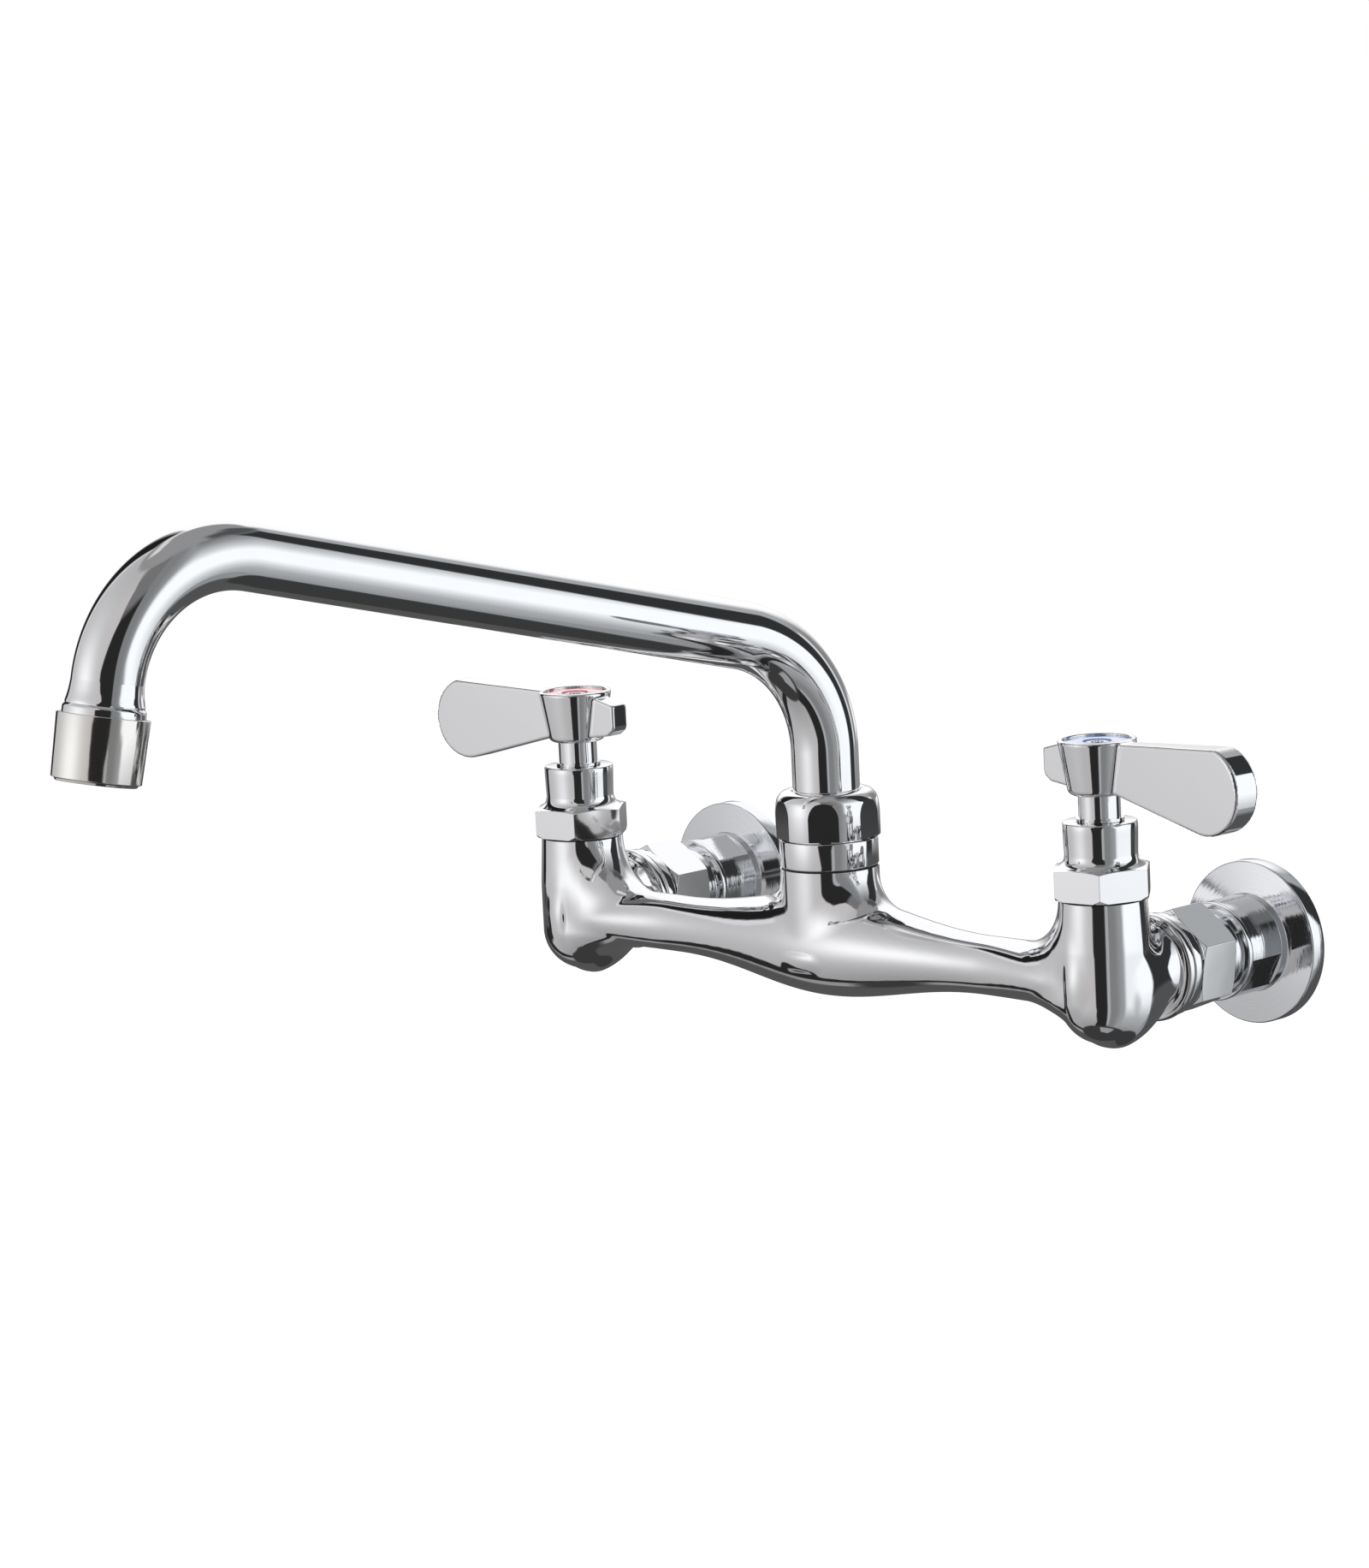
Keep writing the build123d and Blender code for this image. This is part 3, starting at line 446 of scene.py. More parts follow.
def rolled(first, second, r, swelling=False):
    """Union of two forms with the fillet a ball leaves between them, or with a swelling corner."""
    (a, slope_a), (b, slope_b) = first, second
    c = 0.0 if swelling else np.clip((slope_a * slope_b).sum(axis=1), OPPOSED, ALIGNED)
    u, v = r - a, r - b
    share_a, share_b = u - v * c, v - u * c
    in_fillet = (share_a > 0) & (share_b > 0) & (u > 0) & (v > 0)
    to_ball = unit(share_a[:, None] * slope_a + share_b[:, None] * slope_b)
    gap = r - np.sqrt(np.maximum(u * u + v * v - 2 * u * v * c, 0.0) / (1 - c * c))
    slope = np.where((a < b)[:, None], slope_a, slope_b)
    distance = np.where(in_fillet, gap, np.minimum(a, b))
    return distance, np.where(in_fillet[:, None], to_ball, slope)


def even_mesh(bm, grain):
    """Closed even skin over overlapping shells."""
    rough = placed(bm, "rough")
    remesh = rough.modifiers.new("skin", "REMESH")
    remesh.mode = "VOXEL"
    remesh.voxel_size = grain
    graph = bpy.context.evaluated_depsgraph_get()
    skin = bpy.data.meshes.new_from_object(rough.evaluated_get(graph))
    whole = bmesh.new()
    whole.from_mesh(skin)
    shells = rough.data
    bpy.data.objects.remove(rough)
    bpy.data.meshes.remove(shells)
    bpy.data.meshes.remove(skin)
    return whole


def settle(bm, form, rounds=5):
    """Move each point of a skin square on to the true form."""
    points = np.array([v.co[:] for v in bm.verts])
    steps = PROBE * np.eye(3)
    for _ in range(rounds):
        here = form(points)
        rises = [form(points + step) - form(points - step) for step in steps]
        slope = np.stack(rises, axis=1) / (2 * PROBE)
        size = np.maximum((slope**2).sum(axis=1), FLATTEST)
        move = np.clip(here, -LONGEST_MOVE, LONGEST_MOVE) / size
        points = points - move[:, None] * slope
    for vert, point in zip(bm.verts, points):
        vert.co = point
    return bm


def cast_skin(rough, form, grain):
    """Skin of a casting: rough shells, evened out and settled on the form, twice."""
    skin = settle(even_mesh(rough, 2 * grain), form)
    skin = settle(even_mesh(skin, grain), form)
    bmesh.ops.smooth_vert(
        skin, verts=skin.verts, factor=0.5, use_axis_x=True, use_axis_y=True, use_axis_z=True)
    return settle(skin, form, rounds=3)


# ---------------------------------------------------------------- cast body
BODY_TOP = 22.0
BODY_GRAIN = 0.8
BAR_R = 8.2
BAR_SHORT = 4.0  # how far short of the valve axis the bar's own form ends
BAR_WIDENS = (60.0, 92.0, 0.42)  # from where, to where, by how much of its depth
SWELL_R = 14.5
SWELL_REACH = (20.0, 35.0, 60.0)  # pull of its full middle, pull of its foot, its end
HUB_R = 14.0
HUB_BLEND = 12.5
BOSS_TOP_R = 12.0
BOSS_R = 12.8
BOSS_NARROWS = 8.7  # height where the boss starts to narrow towards its top
BOSS_BOTTOM = -17.7
BOSS_ROUND = 12.2
BOSS_BLEND = 16.0
ARM_START = (0.0, -5.5, 11.9)  # along the arm, height, radius
ARM_END = (17.6, 0.0, 12.6)
ARM_SHORT = 1.5  # how far past the valve axis the arm's own form starts
ARM_BLEND = 6.0

# radius of the bar along its length, from its full middle to its even part
swell_t = np.linspace(0.0, 1.0, 61)
swell_x = (
    3 * SWELL_REACH[0] * swell_t * (1 - swell_t) ** 2
    + 3 * SWELL_REACH[1] * swell_t**2 * (1 - swell_t)
    + SWELL_REACH[2] * swell_t**3
)
swell_r = (
    SWELL_R * (1 - swell_t) ** 2 * (1 + 2 * swell_t) + BAR_R * swell_t**2 * (3 - 2 * swell_t)
)
swell_fall = np.gradient(swell_r, swell_x)


def bar_form(x, y, z):
    """Bar with its full middle, widening towards the bosses."""
    start, end, share = BAR_WIDENS
    t = np.clip((x - start) / (end - start), 0.0, 1.0)
    wide = 1 + share * t * t * (3 - 2 * t)
    gain = share * 6 * t * (1 - t) / (end - start)
    out = np.maximum(np.hypot(y / wide, z - BAR_Z), TINY)
    fall = -np.interp(x, swell_x, swell_fall) - y * y * gain / (wide**3 * out)
    slope = np.stack([fall, y / (wide * wide * out), (z - BAR_Z) / out], axis=1)
    bar = (out - np.interp(x, swell_x, swell_r)) / length(slope)
    return ended((bar, unit(slope)), x - VALVE_X + BAR_SHORT, (1, 0, 0))


def hub_form(x, y, z):
    """Upright hub in the middle of the bar."""
    out = np.maximum(np.hypot(x, y), TINY)
    hub = (out - HUB_R, np.stack([x / out, y / out, np.zeros_like(x)], axis=1))
    return ended(hub, BAR_Z - z, (0, 0, -1))


def boss_form(x, y, z):
    """Valve boss with its rounded foot; x is counted from its axis."""
    out = np.maximum(np.hypot(x, y), TINY)
    wall = np.interp(z, [BOSS_NARROWS, BODY_TOP], [BOSS_R, BOSS_TOP_R])
    aside = np.maximum(out - wall + BOSS_ROUND, 0.01)
    under = np.maximum(BOSS_BOTTOM + BOSS_ROUND - z, 0)
    slope = np.stack([aside * x / out, aside * y / out, -under], axis=1)
    return np.hypot(aside, under) - BOSS_ROUND, unit(slope)


def arm_form(x, y, z):
    """Arm that rises from the boss to the union; x is counted from the inlet's axis."""
    along = ARM_END[0] - ARM_START[0]
    rise = (ARM_END[1] - ARM_START[1]) / along
    swell = (ARM_END[2] - ARM_START[2]) / along
    over = z - ARM_START[1] - rise * (y - ARM_START[0])
    out = np.maximum(np.hypot(x, over), TINY)
    slope = np.stack([x / out, -rise * over / out - swell, over / out], axis=1)
    arm = (out - ARM_START[2] - swell * (y - ARM_START[0])) / length(slope)
    return ended((arm, unit(slope)), ARM_SHORT - y, (0, -1, 0))


def body_form(p):
    """The cast body: bar, hub, two valve bosses and two arms, blended as a casting is."""
    x, y, z = np.abs(p[:, 0]), p[:, 1] - ROW_Y, p[:, 2]
    middle = rolled(bar_form(x, y, z), hub_form(x, y, z), HUB_BLEND)
    boss, arm = boss_form(x - VALVE_X, y, z), arm_form(x - VALVE_X, y, z)
    return rolled(middle, rolled(boss, arm, ARM_BLEND, swelling=True), BOSS_BLEND)[0]


# rough shells that the body's skin is drawn over, as outlines
ROUGH_TOP = 26
ROUGH_BAR = [
    (0, -110), (10, -110), (BAR_R, -80), (BAR_R, -50), (SWELL_R, -15), (SWELL_R, 15),
    (BAR_R, 50), (BAR_R, 80), (10, 110), (0, 110),
]
ROUGH_HUB = [(0, 0), (HUB_R, 0), (HUB_R, ROUGH_TOP), (0, ROUGH_TOP)]
ROUGH_BOSS = [
    (0, BOSS_BOTTOM), (8, BOSS_BOTTOM + 3), (BOSS_R, -8), (BOSS_R, ROUGH_TOP), (0, ROUGH_TOP),
]
ROUGH_ARM = [(0, 0), (ARM_START[2], 0), (ARM_END[2], 21), (0, 21)]


def rough_body():
    bar = turned(ROUGH_BAR, ROUGH_STEPS)
    turn_about(bar, "Y", 90)
    shells = [stand(bar, 0, BAR_Z), stand(turned(ROUGH_HUB, ROUGH_STEPS), 0)]
    for way in SIDES.values():
        shells.append(stand(turned(ROUGH_BOSS, ROUGH_STEPS), way * VALVE_X))
        arm = lay_on_inlet(turned(ROUGH_ARM, ROUGH_STEPS), way * VALVE_X)
        for vert in arm.verts:
            vert.co.z += ARM_START[1] * (1 - (vert.co.y - ROW_Y) / ARM_END[0])
        shells.append(arm)
    return joined(*shells)


casting = cast_skin(rough_body(), body_form, BODY_GRAIN)
trim(casting, (0, 0, BODY_TOP), (0, 0, 1))
trim(casting, (0, ROW_Y + ARM_END[0], 0), (0, 1, 0))
piece(casting, "body_casting", "body", "casting", "faucet_body")

# bead and collar in front of each union nut, counted from the row towards the wall
INLET_COLLAR = [
    (0, 17.3), (12.4, 17.3), (13.4, 17.6, 0.3), (14.9, 17.7, 0.9), (14.9, 20.7, 1.2),
    (13.9, 20.9, 0.2), (14.3, 21.1, 0.3), (14.3, 24.4, 0.8), (10.6, 24.4), (10.6, 27.0), (0, 27.0),
]
collars = [lay_on_inlet(turned(INLET_COLLAR), way * VALVE_X) for way in SIDES.values()]
piece(joined(*collars), "inlet_collars", "body", "chrome", "faucet_body")

# ---------------------------------------------------------------- bonnets and stems
BONNET_FLATS = 25.1
BONNET_CORNER = 8.0  # degrees from +X to a corner of the hexagon
BONNET_EDGE = 0.18
BONNET_HEXAGON = [
    (0, 22.6), (13.4, 22.6), (14.5, 23.7), (14.5, 30.6), (12.3, 31.2), (0, 31.2),
]
BONNET_NECK = [
    (0, 30.8), (12.1, 31.0), (11.6, 31.4, 0.3), (10.5, 32.2, 0.7), (9.9, 33.8, 0.8),
    (10.15, 41.0, 0.5), (10.15, 43.3, 0.5), (5.75, 43.3), (5.75, 42.0), (0, 42.0),
]
BONNET_SEAL = [(9.0, 22.0), (11.6, 22.0, 0.1), (11.6, 22.6, 0.1), (9.0, 22.6)]
STEM = [(0, 20.0), (5.7, 20.0), (5.7, 50.4), (0, 50.4)]

for side, way in SIDES.items():
    x = way * VALVE_X
    hexagon = turned(BONNET_HEXAGON, FINE_STEPS)
    flatten(hexagon, hexagon_faces(BONNET_CORNER), BONNET_FLATS / 2)
    bonnet = joined(stand(hexagon, x), stand(turned(BONNET_NECK), x))
    piece(bonnet, f"{side}_bonnet_nut", "body", "chrome", f"{side}_bonnet", edge=BONNET_EDGE)
    seal = stand(turned(BONNET_SEAL), x)
    piece(seal, f"{side}_bonnet_seal", "body", "rubber", f"{side}_bonnet_gasket")
    stem = stand(turned(STEM), x)
    piece(stem, f"{side}_valve_stem", f"{side}_handle", "chrome_stem", f"{side}_stem")

# ---------------------------------------------------------------- lever handles
LEVER_GRAIN = 0.34
LEVER_SHARP = 60.0
LEVER_TURN = 3.3  # degrees that the levers stand off the row, towards the front
LEVER_ROUND = 0.7  # rounding of the edges of blade and tail
LEVER_REACH = 53.9
BLADE_HALF = (2.7, 4.2)  # half its thickness at the axis and at its end
BLADE_ROOT = 4.0
BLADE_UNDER, BLADE_TOP = 52.3, 64.75  # heights at the axis
BLADE_END = (41.9, 55.1, 12.0)  # distance out, height and radius of its round end
BLADE_ARC = (-104.2, 69.8)  # degrees
TAIL_HALF = 3.15
CONE_FOOT, CONE_TOP = 50.5, 65.5
CONE_R = 8.2  # at its foot
CONE_FLARE = 0.1767  # how fast its radius grows with height
CONE_SLANT = 0.985  # cosine of the flare
CONE_FOOT_EDGE, CONE_TOP_EDGE = 1.6, 0.8
LEVER_FILLET = 0.9  # where blade and tail meet the cone
RECESS_R, RECESS_FLOOR, RECESS_EDGE = 9.3, 64.2, 0.3


def arc_points(cx, cz, r, start, end, count=40):
    angles = [math.radians(start + (end - start) * i / (count - 1)) for i in range(count)]
    return [(cx + r * math.cos(a), cz + r * math.sin(a)) for a in angles]


# outlines of the blade and the tail, drawn in by the rounding of their edges
blade_outline = [
    (BLADE_ROOT, BLADE_UNDER + LEVER_ROUND),
    *arc_points(*BLADE_END[:2], BLADE_END[2] - LEVER_ROUND, *BLADE_ARC),
    (BLADE_ROOT, BLADE_TOP - LEVER_ROUND),
]
tail_outline = [
    (-4.0, 52.2), (-14.9, 53.6), (-16.7, 54.9), (-17.0, 55.7), (-17.0, 61.5), (-8.5, 63.7),
    (-4.0, 63.7),
]


def plate(flat, beyond):
    """Plate with rounded edges, from the distances to its outline and beyond its thickness."""
    outside = np.hypot(np.maximum(flat, 0), np.maximum(beyond, 0))
    return outside + np.minimum(np.maximum(flat, beyond), 0) - LEVER_ROUND


def lever_form(p):
    """The cold handle about its own axis: hub cone, blade outwards, short tail."""
    u, v, z = p[:, 0], np.abs(p[:, 1]), p[:, 2]
    around = np.hypot(u, v)
    side = (around - CONE_R - (z - CONE_FOOT) * CONE_FLARE) * CONE_SLANT
    cone = eased(eased(side, CONE_FOOT - z, CONE_FOOT_EDGE), z - CONE_TOP, CONE_TOP_EDGE)
    at_axis, at_end = BLADE_HALF
    half = at_axis + (at_end - at_axis) * np.clip(u / LEVER_REACH, 0, 1) - LEVER_ROUND
    blade = plate(outline_distance(u, z, blade_outline), v - half)
    tail = plate(outline_distance(u, z, tail_outline), v - (TAIL_HALF - LEVER_ROUND))
    whole = filleted(cone, np.minimum(blade, tail), LEVER_FILLET)
    recess = np.maximum(around - RECESS_R, RECESS_FLOOR - z)
    return eased(whole, -recess, RECESS_EDGE)


# rough shells that the lever's skin is drawn over
ROUGH_CONE = [
    (0, 50.6), (8.1, 50.6), (10.7, 65.4), (RECESS_R, 65.4), (RECESS_R, RECESS_FLOOR),
    (0, RECESS_FLOOR),
]
ROUGH_BLADE_HALF, ROUGH_TAIL_HALF = 3.2, 3.0


def rough_lever():
    shells = [turned(ROUGH_CONE, ROUGH_STEPS)]
    for outline, half in ((blade_outline, ROUGH_BLADE_HALF), (tail_outline, ROUGH_TAIL_HALF)):
        bm = bmesh.new()
        face = bm.faces.new([bm.verts.new((u, -half, z)) for u, z in outline])
        out = bmesh.ops.extrude_face_region(bm, geom=[face])
        moved = [g for g in out["geom"] if isinstance(g, bmesh.types.BMVert)]
        bmesh.ops.translate(bm, vec=(0, 2 * half, 0), verts=moved)
        bmesh.ops.recalc_face_normals(bm, faces=bm.faces)
        shells.append(bm)
    return joined(*shells)


INDEX_RING = [(3.9, 64.15), (9.15, 64.15), (9.15, 64.9, 0.15), (3.9, 64.9, 0.15)]
HANDLE_SCREW = [(0, 60.0), (3.4, 60.0), (3.4, 64.6, 0.4), (1.7, 64.6, 0.1), (1.7, 63.0), (0, 63.0)]
INDEX_FINISH = {"hot": "red_plastic", "cold": "blue_plastic"}

lever = cast_skin(rough_lever(), lever_form, LEVER_GRAIN)
lever_mesh = bpy.data.meshes.new("lever")
lever.to_mesh(lever_mesh)
lever.free()
for side, way in SIDES.items():
    x, handle = way * VALVE_X, f"{side}_handle"
    own = bmesh.new()
    own.from_mesh(lever_mesh)
    if way < 0:
        bmesh.ops.scale(own, vec=(-1, 1, 1), verts=own.verts)
        bmesh.ops.reverse_faces(own, faces=own.faces)
    turn_about(own, "Z", -way * LEVER_TURN)
    piece(stand(own, x), f"{side}_lever", handle, "chrome", f"{side}_lever_handle",
          sharp=LEVER_SHARP)
    ring = stand(turned(INDEX_RING), x)
    piece(ring, f"{side}_index", handle, INDEX_FINISH[side], f"{side}_index_ring")
    screw = stand(turned(HANDLE_SCREW), x)
    piece(screw, f"{side}_screw", handle, "chrome", f"{side}_handle_screw")

# ---------------------------------------------------------------- inlets
UNION_FLATS = 26.7
UNION_CORNER = {"hot": 28.0, "cold": 22.0}  # degrees
UNION_EDGE = 0.2
UNION_NUT = [(10.9, 25.0), (13.9, 25.0), (15.42, 25.8), (15.42, 37.8), (13.9, 38.6), (12.05, 38.6)]
FLANGE_FLATS = 25.4
FLANGE_TURN = {"hot": 60.0, "cold": -28.0}  # degrees
FLANGE_SHANK = [(7.2, 34.0), (11.6, 34.0), (12.0, 34.4), (12.0, 44.4), (7.2, 44.4)]
FLANGE_STEP = [(7.2, 44.2), (13.7, 44.2, 0.4), (13.7, 45.8, 0.15), (7.2, 45.8)]
FLANGE_GRIP = [(7.2, 45.8), (13.7, 45.8), (13.7, 58.0), (7.2, 58.0)]
FLANGE_PLATE = [
    (9.9, 58.0), (13.7, 58.0, 0.15), (13.7, 60.6, 0.2), (22.8, 60.6, 0.5), (22.8, 65.5, 0.3),
    (9.9, 65.5),
]

for side, way in SIDES.items():
    x = way * VALVE_X
    nut = turned(UNION_NUT, FINE_STEPS)
    flatten(nut, [-angle for angle in hexagon_faces(UNION_CORNER[side])], UNION_FLATS / 2)
    piece(lay_on_inlet(nut, x), f"{side}_nut", "body", "chrome", f"{side}_union_nut",
          edge=UNION_EDGE)
    grip = turned(FLANGE_GRIP, FINE_STEPS)
    turn = -FLANGE_TURN[side]
    flatten(grip, [turn, turn + 180], FLANGE_FLATS / 2)
    plate_end = turned(FLANGE_PLATE, FINE_STEPS)
    flange = joined(turned(FLANGE_SHANK), turned(FLANGE_STEP), grip, plate_end)
    piece(lay_on_inlet(flange, x), f"{side}_flange", "body", "brushed_chrome",
          f"{side}_wall_flange")

# ---------------------------------------------------------------- spout seat
SEAT_COLLAR = [
    (9.0, 22.5), (14.0, 22.5, 0.4), (14.0, 30.3, 0.4), (12.6, 30.3), (12.6, 36.0), (11.2, 36.0),
    (9.0, 31.0),
]
SEAT_FLATS = 28.3
SEAT_TURN = 9.0  # degrees from +X to one of the nut's small flats
SEAT_EDGE = 0.15
SEAT_NUT = [
    (13.2, 30.8), (14.8, 30.8, 0.15), (14.8, 39.4, 2.0), (14.1, 42.3, 1.6), (12.2, 44.0, 1.4),
    (9.9, 44.0, 0.3), (9.6, 43.4), (9.6, 40.5), (13.2, 40.5),
]

piece(stand(turned(SEAT_COLLAR), 0), "seat_collar", "body", "chrome", "spout_adapter")
seat_nut = turned(SEAT_NUT, FINE_STEPS)
flatten(seat_nut, [SEAT_TURN + 60 * k for k in range(6)], SEAT_FLATS / 2)
piece(stand(seat_nut, 0), "seat_nut", "body", "chrome", "spout_nut", edge=SEAT_EDGE)

# ---------------------------------------------------------------- spout tube and outlet
HEADING = math.radians(9.0)  # the spout stands to the left of straight out
RISE = math.radians(13.9)  # of its long run
TILT = math.radians(11.8)  # of its outlet, off the vertical
TUBE_R = 9.525
TUBE_STEPS = 96
TUBE_FOOT = 31.0
RISER_TOP = 55.1
LOWER_BEND_R, LOWER_BEND_STEPS = 36.7, 48
LONG_RUN = 160.0
UPPER_BEND_R, UPPER_BEND_STEPS = 36.0, 56
OUTLET_RUN = 7.1

out_way = Vector((-math.sin(HEADING), -math.cos(HEADING), 0))
across = out_way.cross(UP)
along = out_way * math.cos(RISE) + UP * math.sin(RISE)
flow = out_way * math.sin(TILT) - UP * math.cos(TILT)


def spout_point(u, z):
    """Point in the spout's own plane: distance from the hub axis and height."""
    return Vector((0, ROW_Y, z)) + out_way * u


# the ends of the long run, the middle of the upper bend and the end of the tube
run_u = LOWER_BEND_R - LOWER_BEND_R * math.sin(RISE)
run_z = RISER_TOP + LOWER_BEND_R * math.cos(RISE)
top_u, top_z = run_u + LONG_RUN * math.cos(RISE), run_z + LONG_RUN * math.sin(RISE)
bend_u, bend_z = top_u + UPPER_BEND_R * math.sin(RISE), top_z - UPPER_BEND_R * math.cos(RISE)
tube_end = (
    spout_point(bend_u + UPPER_BEND_R * math.cos(TILT), bend_z + UPPER_BEND_R * math.sin(TILT))
    + flow * OUTLET_RUN
)


def spout_tube():
    """Tube drawn along its riser, lower bend, long run, upper bend and outlet."""
    bm = bmesh.new()
    hoop = bmesh.ops.create_circle(bm, cap_ends=False, segments=TUBE_STEPS, radius=TUBE_R)["verts"]
    bmesh.ops.translate(bm, vec=(0, ROW_Y, TUBE_FOOT), verts=hoop)

    def ends(edges):
        return list({v for e in edges for v in e.verts})

    def run(edges, way, distance, steps):
        for _ in range(steps):
            geom = bmesh.ops.extrude_edge_only(bm, edges=edges)["geom"]
            edges = [g for g in geom if isinstance(g, bmesh.types.BMEdge)]
            bmesh.ops.translate(bm, vec=way * (distance / steps), verts=ends(edges))
        return edges

    def bend(edges, centre, turn, steps):
        out = bmesh.ops.spin(
            bm, geom=ends(edges) + edges, cent=centre, axis=across, angle=turn, steps=steps)
        return [g for g in out["geom_last"] if isinstance(g, bmesh.types.BMEdge)]

    edges = run(bm.edges[:], UP, RISER_TOP - TUBE_FOOT, 3)
    centre = spout_point(LOWER_BEND_R, RISER_TOP)
    edges = bend(edges, centre, -(math.pi / 2 - RISE), LOWER_BEND_STEPS)
    edges = run(edges, along, LONG_RUN, 8)
    centre = spout_point(bend_u, bend_z)
    edges = bend(edges, centre, -(math.pi / 2 + RISE - TILT), UPPER_BEND_STEPS)
    run(edges, flow, OUTLET_RUN, 1)
    bmesh.ops.holes_fill(bm, edges=[e for e in bm.edges if e.is_boundary])
    bmesh.ops.recalc_face_normals(bm, faces=bm.faces)
    return bm


def hang_on_outlet(bm):
    """Hang a turned piece on the end of the tube: its Z becomes the way the water flows."""
    side = flow.cross(UP).normalized()
    turn = Matrix((side, flow.cross(side), flow)).transposed()
    place = Matrix.Translation(tube_end) @ turn.to_4x4()
    bmesh.ops.transform(bm, matrix=place, verts=bm.verts)
    return bm


# counted from the end of the tube, the way the water flows
OUTLET_LIP = [
    (7.2, -7.0), (9.5, -7.0), (9.6, -5.2, 1.6), (9.95, -2.8, 1.8), (10.4, -1.0, 0.5),
    (10.35, -0.5, 0.1), (10.9, 0.2, 0.3), (10.9, 2.0), (10.6, 2.0), (10.6, 9.0), (7.2, 9.0),
]
AERATOR_BODY = [
    (10.65, 2.0), (12.2, 2.0, 0.25), (11.75, 18.7, 0.15), (10.9, 18.95, 0.1), (10.6, 19.6, 0.2),
    (9.6, 19.6, 0.2), (9.6, 18.6), (10.65, 18.6),
]

piece(spout_tube(), "swing_tube", "spout", "chrome", "spout_tube")
lip = hang_on_outlet(turned(OUTLET_LIP))
piece(lip, "outlet_lip", "spout", "chrome", "outlet_fitting")
aerator = hang_on_outlet(turned(AERATOR_BODY))
piece(aerator, "aerator_body", "spout", "satin_chrome", "aerator_shell")

# ---------------------------------------------------------------- light tent
STUDIO = Vector((0.0, -0.12, 0.04))
TENT_REACH = 0.8
TENT_ROUND, TENT_HIGH = 360, 180  # steps round and up
TENT_GREY = 0.27  # level where no panel hangs
PLATE = 0.85  # how much of a panel's light the plating gives back
COOL = 0.03  # how far the right half leans to blue and the middle away from it

# edges of the two white screens and of the gap for the camera: height and azimuth in degrees
LEFT_SCREEN_FAR = ((-60, -62), (-44, -74), (-10, -84), (10, -79), (58, -73))
LEFT_SCREEN_NEAR = (
    (-60, 10), (-50, 22), (-20, 26), (0, 20), (14, 19), (32, 33), (48, 30), (60, 18),
)
RIGHT_SCREEN_FAR = ((-50, 116), (-38, 124), (-24, 140), (4, 144), (24, 131), (46, 130), (60, 122))
GAP_FAR = ((-4, 52), (6, 58), (30, 61))
# how bright the screens are from bottom to top: height and level
LEFT_SCREEN_LEVEL = ((-56, 0.31), (-32, 0.42), (0, 0.50), (40, 0.50), (64, 0.42))
RIGHT_SCREEN_LEVEL = (
    (-58, 0.29), (-36, 0.41), (-22, 0.64), (-6, 0.99), (20, 0.98), (34, 0.60), (50, 0.31),
    (66, 0.14),
)


def smooth(low, high, at):
    """Nought before a stretch, one after it, rising softly within."""
    t = np.clip((at - low) / (high - low), 0.0, 1.0)
    return t * t * (3 - 2 * t)


def between(low, high, at, soft=1.5):
    """One inside a stretch, nought outside it, with soft ends."""
    return smooth(low - soft, low + soft, at) * (1 - smooth(high - soft, high + soft, at))


def ramp(stops, at):
    return np.interp(at, [stop[0] for stop in stops], [stop[1] for stop in stops])


